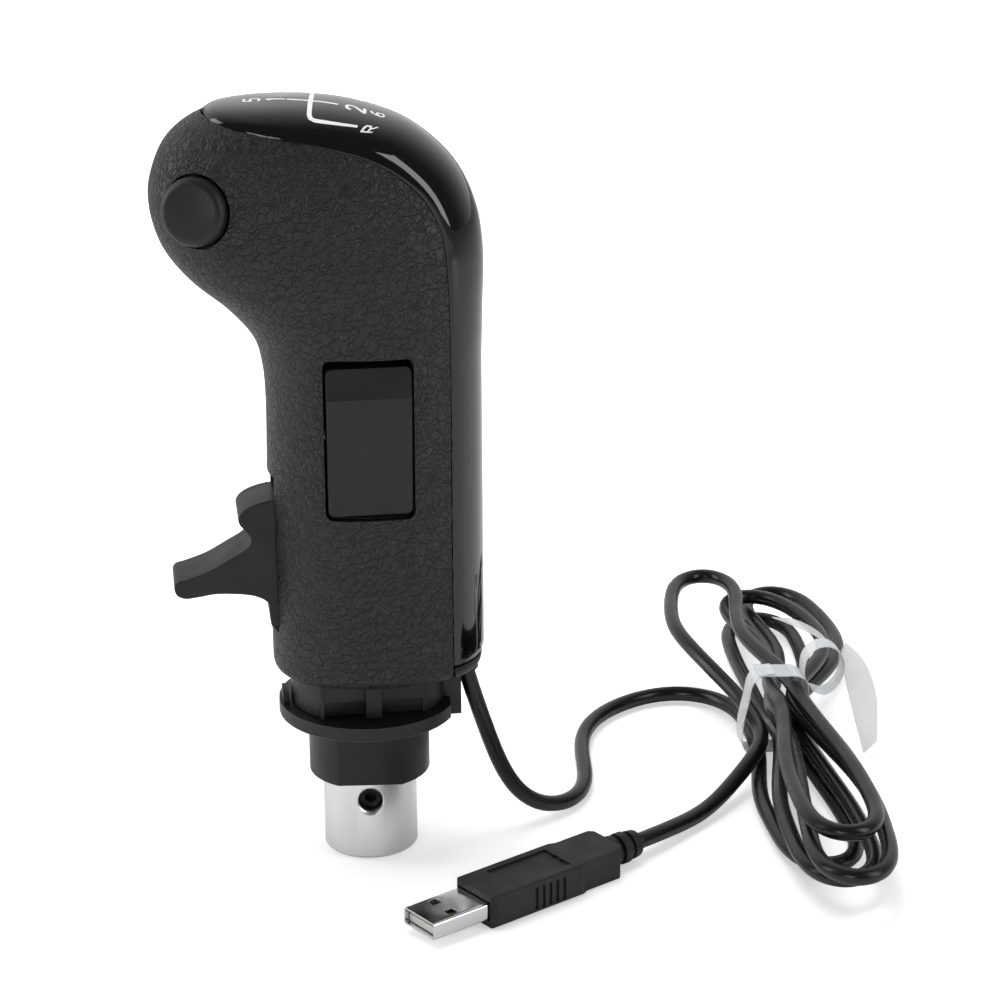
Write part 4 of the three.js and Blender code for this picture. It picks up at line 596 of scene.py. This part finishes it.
stops[0].position, stops[0].color = 0, (0.002, 0.002, 0.0021, 1)
stops[1].position, stops[1].color = 0.3, (0.0095, 0.0095, 0.0098, 1)
for place_along, shade in ((0.05, 0.0035), (0.085, 0.034), (0.15, 0.013)):
    stops.new(place_along).color = (shade, shade, shade * 1.02, 1)
# noise patches choose where the painted crease shade and glint show; elsewhere the colour is plain
patch = new_node(nodes, "TexNoise", Scale=330, Detail=3)
shade_glint_patches = new_node(nodes, "MapRange", From_Min=0.42, From_Max=0.58)
colour = new_node(nodes, "Mix")
colour.data_type = "RGBA"
colour.inputs["A"].default_value = (0.0085, 0.0085, 0.0088, 1)
gloss = new_node(nodes, "MapRange", To_Min=0.6, To_Max=0.36)
relief = new_node(nodes, "Bump", Strength=1.0, Distance=0.00025)
join(links, [
    (place, warp.inputs["Vector"]), (warp.outputs["Color"], bend.inputs[0]),
    (place, bend.inputs[2]), (bend.outputs[0], cells.inputs["Vector"]),
    (bend.outputs[0], fine.inputs["Vector"]), (cells.outputs["Distance"], crease.inputs["Value"]),
    (fine.outputs["Distance"], crease_fine.inputs["Value"]), (crease.outputs[0], height.inputs[0]),
    (crease_fine.outputs[0], height.inputs[1]), (place, patch.inputs["Vector"]),
    (patch.outputs["Fac"], shade_glint_patches.inputs["Value"]), (shade_glint_patches.outputs[0], colour.inputs["Factor"]),
    (cells.outputs["Distance"], crease_shade_and_glint.inputs["Fac"]), (crease_shade_and_glint.outputs["Color"], colour.inputs["B"]),
    (colour.outputs["Result"], surface.inputs["Base Color"]), (height.outputs[0], gloss.inputs["Value"]),
    (gloss.outputs[0], surface.inputs["Roughness"]), (height.outputs[0], relief.inputs["Height"]),
    (relief.outputs[0], surface.inputs["Normal"])])

levels = ring_rows(150, 1.25)
start = seam_turn(levels, -seam_gap)[:, None]
turns = start + (2 * np.pi - 2 * start) * np.linspace(0, 1, 240)[None]
skin = grip_surface(levels[:, None] + 0 * turns, turns)
outward = outward_at(levels[:, None], turns)


def with_rim(rows):
    """Adds the rounded foot below the lowest row: 80 degrees of a circle of rim_round that turns inward."""
    bends = np.radians(np.linspace(0, 80, 7))[:, None, None]
    foot = rows[0][None]
    middle = foot.mean(axis=1, keepdims=True)
    out = (foot - middle) * np.array([1, 1, 0])
    out /= np.maximum(np.linalg.norm(out, axis=-1, keepdims=True), 1e-9)
    curl = foot - out * rim_round * (1 - np.sin(bends))
    curl[..., 2] = (rim_height + rim_round - rim_round * np.cos(bends))[..., 0]
    return np.concatenate([curl, rows])


# the shell's rows end where its two edges meet, at the tip of the seam
top = int(np.argmax(start[:, 0] > np.pi - 0.02))
shell_rows = skin[:top]
inner_rows = shell_rows - shell_wall * outward[:top]
# the floor of the shell runs in to the sleeve, a circle with a flat on the near and far side
toward = unit(shell_rows[0] * [1, 1, 0])
sleeve_line = toward * np.minimum(sleeve_radius, sleeve_flat / np.maximum(np.abs(toward[:, 1:2]), 1e-6))
floor_low, floor_high = sleeve_line + [0, 0, rim_height], sleeve_line + [0, 0, rim_height + shell_wall]
inner_foot = inner_rows[0] * [1, 1, 0] + [0, 0, rim_height + shell_wall]
floor_rows = floor_high + (inner_foot - floor_high) * np.linspace(0, 1, 7)[:, None, None]
shell = walled("grip_skin", np.concatenate([floor_low[None], with_rim(shell_rows)]),
               np.concatenate([floor_high[None], floor_rows, inner_rows]), grip_grain, "grip_grain")
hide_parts("grip_shell")


# Cover and rear band: the gloss cover, a moulding of its own, stands 0.7 mm proud of the shell over a rounded
# shoulder whose edge dips into the seam. A satin band closes the foot of the back below it.
cover_gloss = moulded_finish("cover_gloss", (0.003, 0.003, 0.0032), (0.045, 0.085), 45, 900, 0.01,
                             Coat_Weight=0.4, Coat_Roughness=0.03)
cover_foot, cover_wall, cover_proud, edge_dip, shoulder, band_gap, band_wall, band_proud = (
    54, 1.7, 0.7, 0.35, 3.4, 0.3, 2.4, 0.15)


def edge_crowded(count, depth):
    """Shares from 0 to 1 that lie closer together at both ends, each half as 1 - (1 - share)^depth."""
    share = np.linspace(-1, 1, count)
    return (np.sign(share) * (1 - (1 - np.abs(share)) ** depth) + 1) / 2


low_levels = np.linspace(0, 0.2, 200)
foot_share = (cover_foot - rim_height - rim_round) / loft_height
first_level = np.interp(foot_share, spline_at(grip_levels, low_levels)[:, 0], low_levels)
cover_levels = first_level + (1 - first_level) * ring_rows(190, 1.35)
cover_start = seam_turn(cover_levels, seam_gap)[:, None]
cover_turns = cover_start * (2 * edge_crowded(181, 1.8)[None] - 1)
cover_base = grip_surface(cover_levels[:, None] + 0 * cover_turns, cover_turns)
cover_out = outward_at(cover_levels[:, None], cover_turns)
open_rows = cover_start[:, 0] < np.pi - 0.01
border = np.concatenate([cover_base[:, 0][open_rows], cover_base[:, -1][open_rows][::-1]])
fine_border = picked(border, np.arange(len(border)), np.linspace(0, len(border) - 1, 1400))
to_border = np.min([np.min(np.linalg.norm(cover_base[..., None, :] - part[None, None], axis=-1), axis=-1)
                    for part in np.array_split(fine_border, 40)], axis=0)
# the shoulder is a quarter of an ellipse over the distance to the seam, and the cover thins out at its foot
rise = np.sqrt(1 - (1 - np.clip(to_border / shoulder, 0, 1)) ** 2)
proud = (cover_proud + edge_dip) * rise - edge_dip
proud = np.minimum(proud, np.clip((cover_base[..., 2] - cover_foot) / 0.5 + 0.4, 0, 1) * cover_proud)
crown_point = cover_base[-1].mean(axis=0)
outer = cover_base + proud[..., None] * cover_out
inner = cover_base - cover_wall * cover_out
outer = np.concatenate([outer, np.broadcast_to(crown_point + [0, 0, cover_proud], (1, *outer.shape[1:]))])
inner = np.concatenate([inner, np.broadcast_to(crown_point - [0, 0, cover_wall], (1, *inner.shape[1:]))])
cover = walled("spine_cover_skin", outer, inner, cover_gloss, "cover_gloss")
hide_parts("spine_cover")

band_top = (cover_foot - band_gap - rim_height - rim_round) / loft_height
band_levels = np.linspace(0, np.interp(band_top, [0, 0.12], [0, 1 / 16]), 4)
band_start = seam_turn(band_levels, seam_gap)[:, None]
band_turns = band_start * np.linspace(-1, 1, 121)[None]
band_base = grip_surface(band_levels[:, None] + 0 * band_turns, band_turns)
band_out = outward_at(band_levels[:, None], band_turns)
satin_black = moulded_finish("satin_black", (0.006, 0.006, 0.0064), (0.34, 0.48), 80, 2200, 0.08)
band = walled("rear_band_skin", with_rim(band_base + band_proud * band_out),
              with_rim(band_base - band_wall * band_out), satin_black, "core_plastic")
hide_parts("rear_band")


def circle(radius, count):
    """A closed ring of points in the XY plane."""
    turn = 2 * np.pi * np.arange(count) / count
    return np.stack([radius * np.cos(turn), radius * np.sin(turn), 0 * turn], 1)


thumb_heading, thumb_tilt = math.radians(-27.1), math.radians(90 - 8.6)
thumb_frame = np.array(Matrix.Rotation(thumb_heading, 3, "Z") @ Matrix.Rotation(thumb_tilt, 3, "X"))
thumb_place, thumb_axis = np.array([-39.5, -17.3, 173.1]), thumb_frame[:, 2]


def rounded_box(left, right, low, high, radius):
    """Corners of a rectangle in the XZ plane with a quarter circle at each."""
    bends = np.radians(np.linspace(0, 90, 6))
    corners = []
    for x, z, first in ((right - radius, high - radius, 0), (left + radius, high - radius, 90),
                        (left + radius, low + radius, 180), (right - radius, low + radius, 270)):
        turn = bends + math.radians(first)
        corners.append(np.stack([x + radius * np.cos(turn), 0 * turn, z + radius * np.sin(turn)], 1))
    return np.concatenate(corners)


# the openings for the rocker, the paddle and the thumb button in the shell, and for the cord in the band
well_radius, outlet_radius, slot_half = 8.95, 3.6, 7.65
rocker_opening = rounded_box(left=-10.9, right=10.9, low=95.3, high=136.4, radius=2)
cut_away(shell, *prism(rocker_opening, [0, -34, 0], [0, -8, 0]))
paddle_slot = rounded_box(left=-62, right=-9, low=62, high=103, radius=0.8)
cut_away(shell, *prism(paddle_slot, [0, -slot_half, 0], [0, slot_half, 0]))
thumb_ring = circle(well_radius, 72) @ thumb_frame.T + thumb_place
cut_away(shell, *prism(thumb_ring, -11 * thumb_axis, 7 * thumb_axis))
lean_frame = np.array(Matrix.Rotation(-outlet_lean, 3, "Y"))
outlet_ring = circle(outlet_radius, 32) @ lean_frame.T + outlet
cut_away(band, *prism(outlet_ring, -6 * outlet_axis, 14 * outlet_axis))


# Gear pattern: white print laid into the top of the cover, so that it follows the crown. Digits are strokes
# drawn across (to the driver's right) and up (to the front).
white_print = moulded_finish("white_print", (0.86, 0.86, 0.84), (0.35, 0.5), 300, 4000, 0.05)
glyphs = {
    "1": [[(0.15, 0.75), (0.55, 1), (0.55, 0)]],
    "2": [[(0, 0.76), (0.14, 0.95), (0.5, 1), (0.86, 0.95), (1, 0.76), (0.86, 0.52), (0.1, 0.1), (0, 0),
           (1, 0)]],
    "3": [[(0, 0.9), (0.3, 1), (0.8, 0.97), (1, 0.77), (0.8, 0.56), (0.4, 0.52), (0.85, 0.47), (1, 0.25),
           (0.8, 0.04), (0.3, 0), (0, 0.1)]],
    "4": [[(0.74, 0), (0.74, 1), (0, 0.28), (1, 0.28)]],
    "5": [[(0.95, 1), (0.1, 1), (0.04, 0.55), (0.5, 0.63), (0.9, 0.5), (1, 0.3), (0.85, 0.06), (0.4, 0),
           (0, 0.1)]],
    "6": [[(0.86, 0.98), (0.42, 0.92), (0.08, 0.6), (0, 0.3), (0.15, 0.05), (0.5, 0), (0.86, 0.06), (1, 0.3),
           (0.86, 0.53), (0.5, 0.59), (0.06, 0.4)]],
    "7": [[(0, 1), (1, 1), (0.35, 0)]],
    "8": [[(0.5, 0.53), (0.12, 0.66), (0.1, 0.88), (0.5, 1), (0.9, 0.88), (0.88, 0.66), (0.5, 0.53),
           (0.05, 0.36), (0.03, 0.12), (0.5, 0), (0.97, 0.12), (0.95, 0.36), (0.5, 0.53)]],
    "R": [[(0, 0), (0, 1), (0.65, 1), (0.95, 0.88), (0.95, 0.62), (0.65, 0.5), (0, 0.5)],
          [(0.5, 0.5), (1, 0)]],
}


def crown_under(plan):
    """Points and normals of the cover's top under points of the plan. At each point the superellipse of every
    level is valued, |x / reach|^power + |y / half|^power, and the level where it passes 1 is taken."""
    level = np.linspace(0.86, 1, 700)
    middle, reach, half = section_at(level)[1:]
    x, y = (plan[..., :1] - middle) / reach, plan[..., 1:] / half
    value = np.abs(x) ** power + np.abs(y) ** power
    above = np.maximum(np.argmax(value > 1, axis=-1), 1)[..., None]
    low, high = np.take_along_axis(value, above - 1, -1), np.take_along_axis(value, above, -1)
    share = (1 - low) / (high - low)
    found = (level[above - 1] * (1 - share) + level[above] * share)[..., 0]
    x, y = (np.take_along_axis(k, above, -1)[..., 0] for k in (x, y))
    turn = np.arctan2(np.sign(y) * np.abs(y) ** (power / 2), np.sign(x) * np.abs(x) ** (power / 2))
    return grip_surface(found, turn), outward_at(found, turn)


strokes = []
# the pattern is printed a little askew: u runs back and v to the far side from the crossing in the middle
crossing, askew = np.array([-10.7, -3.5]), math.radians(7)
stroke_step, print_top, print_foot = 0.16, 0.75, 0.58
printed = np.array([[math.cos(askew), -math.sin(askew)], [math.sin(askew), math.cos(askew)]])
# glyph, its front and back edge along u, its middle along v, its width and its stroke's width
for glyph, front, back, side, width, line in (
        ("5", -15.7, -12, 0.5, 2.7, 0.55), ("1", -10.4, -6, 0.5, 1.7, 0.75),
        ("2", 8.4, 12.6, -0.9, 2.9, 0.8), ("6", 14, 17.6, -0.5, 2.3, 0.6),
        ("R", 13.4, 17.9, -10.1, 3.7, 0.8), ("7", -15.7, -12, 10.9, 2.3, 0.55),
        ("3", -10.4, -6, 10.9, 2.3, 0.75), ("4", 8.4, 12.6, 9.9, 2.9, 0.8),
        ("8", 14, 17.6, 9.9, 2.3, 0.6)):
    for stroke in glyphs[glyph]:
        rightward, forward = np.array(stroke).T
        drawn = np.stack([back + (front - back) * forward, side + width * (rightward - 0.5)], 1)
        strokes.append((drawn, line))
strokes.append((np.array([(-5.6, 0.4), (6.4, -0.5)]), 0.9))
strokes.append((np.array([(-4.8, 10.7), (6.4, 10)]), 0.9))
strokes.append((np.array([(0, 10.4), (0, 0), (0, -8.2), (0.3, -9.3), (1.3, -9.8), (2.7, -9.8), (11.3, -9.5)]),
                1.1))
strokes = [(crossing + line @ printed, width) for line, width in strokes]
for number, (line, width) in enumerate(strokes):
    steps = travelled(line)
    path = picked(line, steps, np.linspace(0, steps[-1], max(int(steps[-1] / stroke_step), 3)))
    ahead = unit(np.gradient(path, axis=0))
    across = np.stack([-ahead[:, 1], ahead[:, 0]], 1)
    plan = path[:, None] + across[:, None] * (width * np.linspace(-0.5, 0.5, 4))[None, :, None]
    laid, normals = crown_under(plan)
    walled(f"pattern_{number:02d}", laid + print_top * normals, laid + print_foot * normals, white_print,
           "cover_gloss")


# Thumb button: a domed cap moulded in one with its skirt and stem. It slides in the dark well of its guide
# and presses a switch, with the steel spring under it.
def lathe(profile, columns, turn_frame, place):
    """A profile of (radius, height) turned about its axis, then set on a frame and place."""
    profile = np.asarray(profile, float)
    turn = 2 * np.pi * np.arange(columns) / columns
    radius, height = profile[:, :1], profile[:, 1:]
    rings = np.stack([radius * np.cos(turn), radius * np.sin(turn), height + 0 * turn], -1)
    points = rings.reshape(-1, 3) @ turn_frame.T + place
    return points / 1000, ring_faces(len(profile), columns)


dome_round, dome_turns = 2.5, np.radians(np.linspace(0, 80, 16))
dome_arc = np.stack([5.75 + dome_round * np.cos(dome_turns), 0.2 + dome_round * np.sin(dome_turns)], 1)
dome = np.concatenate([dome_arc, [[5.3, 2.74], [4.2, 2.88], [2.8, 3.0], [1.4, 3.07], [0, 3.1]]])
button_profile = np.concatenate([[[0, -8.8], [1.9, -8.8], [1.9, -6.5], [9.8, -6.5], [9.8, -5.3], [8.25, -5.3],
                                  [8.25, -1]], dome])
button_black = moulded_finish("button_black", (0.0075, 0.0075, 0.008), (0.42, 0.52), 120, 2400, 0.06)
button = mesh_piece("thumb_dome", *lathe(button_profile, 96, thumb_frame, thumb_place), button_black, "thumb",
                    "button_plastic")
tidy_mesh(button)
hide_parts("thumb_button")
spring = frame["nodes"]["thumb_spring"]
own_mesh(spring)


# Rocker: one satin cap moulded with a crease under its upper end. Its corners are rounded, and so are its rim
# and the crease, which catch the light.
rocker = dressed("rocker_cap", button_black, 0)
corner_round, waste, rocker_half, rocker_foot, rocker_top = 1.5, 2.5, 10.2, 96.6, 134.4
corner_turns = np.radians(np.linspace(0, 90, 11))
corner_arc = corner_round * np.stack([np.cos(corner_turns), 0 * corner_turns, np.sin(corner_turns)], 1)
corner_waste = np.concatenate([corner_arc, [[0, 0, waste], [waste, 0, waste], [waste, 0, 0]]])
corner_waste -= [corner_round, 0, corner_round]
for side in (-1, 1):
    for way, end in (-1, rocker_foot), (1, rocker_top):
        corner = corner_waste * [side, 1, way] + [rocker_half * side, 0, end]
        cut_away(rocker, *prism(corner, [0, -30, 0], [0, -8, 0]))
tidy_mesh(rocker)
rounded(rocker, width=0.0007, segments=3, sharp=12)


# Range paddle: a thick moulded plate on edge, with a hump and a hooked beak that a finger pulls or pushes.
# Its faces are satin, its edges rounded by 1 mm, and its hub turns on a pin in the handle's slot.
paddle_reach, paddle_foot, paddle_height, paddle_half = 48, 63.5, 33.5, 7.25
# reach to the front and height of its outline, as shares
paddle_shares = np.array([
    [0.4, 0.98], [0.46, 1], [0.53, 0.988], [0.59, 0.96], [0.636, 0.92], [0.658, 0.87], [0.652, 0.82],
    [0.622, 0.765], [0.6, 0.715], [0.6, 0.672], [0.632, 0.62], [0.71, 0.555], [0.82, 0.468], [0.94, 0.408],
    [0.985, 0.39], [1, 0.352], [0.988, 0.29], [0.948, 0.26], [0.88, 0.266], [0.8, 0.282], [0.72, 0.28],
    [0.6, 0.256], [0.545, 0.222], [0.518, 0.185], [0.512, 0.06], [0.5, 0], [0.44, 0.02]])
edge_line = np.stack([-paddle_reach * paddle_shares[:, 0], 0 * paddle_shares[:, 0],
                      paddle_foot + paddle_height * paddle_shares[:, 1]], 1)
points, faces = prism(flowing(edge_line, 0.35), [0, -paddle_half, 0], [0, paddle_half, 0])
paddle = mesh_piece("range_paddle_hook", points / 1000, faces, button_black, "paddle", "button_plastic")
tidy_mesh(paddle, 30)
rounded(paddle, width=0.001, segments=4, sharp=50)
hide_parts("range_paddle")
hub_turn = np.array(Matrix.Rotation(math.radians(-90), 3, "X"))
hub_ring, hub_place = [[1.8, -7], [4.6, -7], [4.6, 7], [1.8, 7], [1.8, -7]], np.array([-17, 0, 82])
hub = mesh_piece("paddle_hub", *lathe(hub_ring, 48, hub_turn, hub_place), button_black, "paddle",
                 "button_plastic")
tidy_mesh(hub)


# Plug: a shell bent from plated steel round a white tongue with brass contacts, in a moulded grip with ribbed
# sides and a ribbed strain relief. It lies on the floor with two small dots on its top.
plated = moulded_finish("plated_steel", (0.78, 0.78, 0.79), (0.13, 0.22), 150, 1600, 0.05, Metallic=1.0)
plug_black = moulded_finish("plug_black", (0.009, 0.009, 0.0095), (0.5, 0.62), 90, 2400, 0.1)
insert_white = moulded_finish("insert_white", (0.75, 0.75, 0.73), (0.4, 0.5))
brass = moulded_finish("contact_brass", (0.72, 0.52, 0.2), (0.25, 0.35), Metallic=1.0)
plug_pieces = [dressed("plug_shell", plated, 0.00012),
               dressed("plug_overmould", plug_black, 0.00028),
               dressed("plug_relief", plug_black, 0.0003)]
plug_turn = np.array(Matrix.Rotation(plug_heading, 3, "Z"))
dot_profile = [[0, -0.3], [0.55, -0.3], [0.55, 0.06], [0.4, 0.16], [0, 0.2]]
for number, side in enumerate((-1.5, 1.5)):
    place = plug_foot + plug_turn @ np.array([43.7, side, 8.35])
    dot = mesh_piece(f"plug_dot_{number}", *lathe(dot_profile, 24, plug_turn, place), plug_black, "handle",
                     "plug_plastic")
    tidy_mesh(dot)
    plug_pieces.append(dot)
for node, finish in [("plug_tongue", insert_white)] + [(f"plug_contact_{k}", brass) for k in (1, 2, 3, 4)]:
    frame["nodes"][node].data.materials[0] = finish
    plug_pieces.append(frame["nodes"][node])


# Tie: one milky film ribbon. It is wrapped flat round the waist of the hank, stands up in a ring beside it
# and ends in a wide flap and a narrow band, all held by its own stiffness.
tie_film = moulded_finish("tie_film", (0.86, 0.88, 0.9), (0.2, 0.45), 130, 700, 0.1, 0.0002, Alpha=0.62)


def film(name, near, far):
    """A strip of film between two smooth edge lines: the points at equal shares of both are joined straight,
    and the two skins lie half a thickness to either side along cross(along, across)."""
    thickness, across = 0.22, np.linspace(0, 1, 9)[None, :, None]
    near, far = flowing(np.array(near, float), 0.5), flowing(np.array(far, float), 0.5)
    share = np.linspace(0, 1, max(len(near), len(far)))
    near, far = (picked(edge, np.linspace(0, 1, len(edge)), share) for edge in (near, far))
    middle = near[:, None] + (far - near)[:, None] * across
    normal = np.cross(np.gradient(middle, axis=0), (far - near)[:, None])
    half = thickness / 2 * unit(normal)
    return walled(name, middle + half, middle - half, tie_film, "tie_film")


def loop_at(line, side):
    """Points of an (x, z) line at one Y, or at a list of Y spread evenly along it."""
    sides = np.interp(np.linspace(0, 1, len(line)), np.linspace(0, 1, len(side)), side)
    return [(x, y, z) for (x, z), y in zip(line, sides)]


wrap_line = [(110, 23.4), (113.5, 22.9), (117.5, 22.7), (121.2, 22.3), (123.6, 20.4), (124.1, 15), (124.1, 8),
             (123.7, 2), (121.5, 0.45), (114, 0.35), (107.6, 0.4), (106.2, 2), (106, 8), (107.4, 15),
             (108.6, 20.6), (111, 22.9), (114.5, 23.6)]
ring_line = [(123.9, 19), (122.9, 22.6), (123.6, 27), (126.6, 30), (130.4, 30), (133.4, 27.2), (134, 22.8),
             (132.3, 18.5), (128.9, 16.2), (125.4, 17.4)]
tie = [
    film("tie_wrap", loop_at(wrap_line, [36, 36.5]), loop_at(wrap_line, [44.5, 43.5])),
    film("tie_ring", loop_at(ring_line, [37, 37]), loop_at(ring_line, [43, 43])),
    film("tie_flap", [(133.6, 39.5, 27.8), (134.4, 38, 21), (136, 34, 12), (138, 28, 2)],
         [(135.5, 42.5, 29), (140.4, 41, 24), (143.4, 37.5, 15), (142.4, 31, 4)]),
    film("tie_band", [(118.7, 60, 30.5), (122, 54, 30.8), (127, 47, 30.2), (131.7, 40.5, 28.8)],
         [(121.8, 73, 25), (127.5, 69, 25.5), (133, 64.5, 23.5), (136.8, 60, 20)]),
]
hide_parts("tie_ribbon")


# Inside: the nylon frame, the circuit board, the switches, pins, screws and spring only show in section. They
# keep their CAD shape, each with the finish of its own material.
frame_nylon = moulded_finish("frame_nylon", (0.03, 0.03, 0.032), (0.5, 0.62))
bright = moulded_finish("bright_steel", (0.62, 0.62, 0.64), (0.22, 0.34), Metallic=1.0)
rubber = moulded_finish("grommet_rubber", (0.012, 0.012, 0.012), (0.6, 0.75))
laminate = moulded_finish("board_laminate", (0.02, 0.16, 0.06), (0.3, 0.45), 300, 3000, 0.1)
jack_nylon = moulded_finish("jack_nylon", (0.72, 0.68, 0.58), (0.45, 0.55))
for finish, names in [
        (frame_nylon, "inner_frame rocker_housing thumb_guide cable_clamp main_chip thumb_switch "
                      "rocker_switch_lower rocker_switch_upper paddle_switch_lower paddle_switch_upper"),
        (bright, "core_screw_left core_screw_right rocker_pin paddle_pin thumb_spring board_screw_lower "
                 "board_screw_upper"),
        (rubber, "cable_grommet"), (laminate, "main_board"), (jack_nylon, "board_jack")]:
    for node in names.split():
        frame["nodes"][node].data.materials[0] = finish
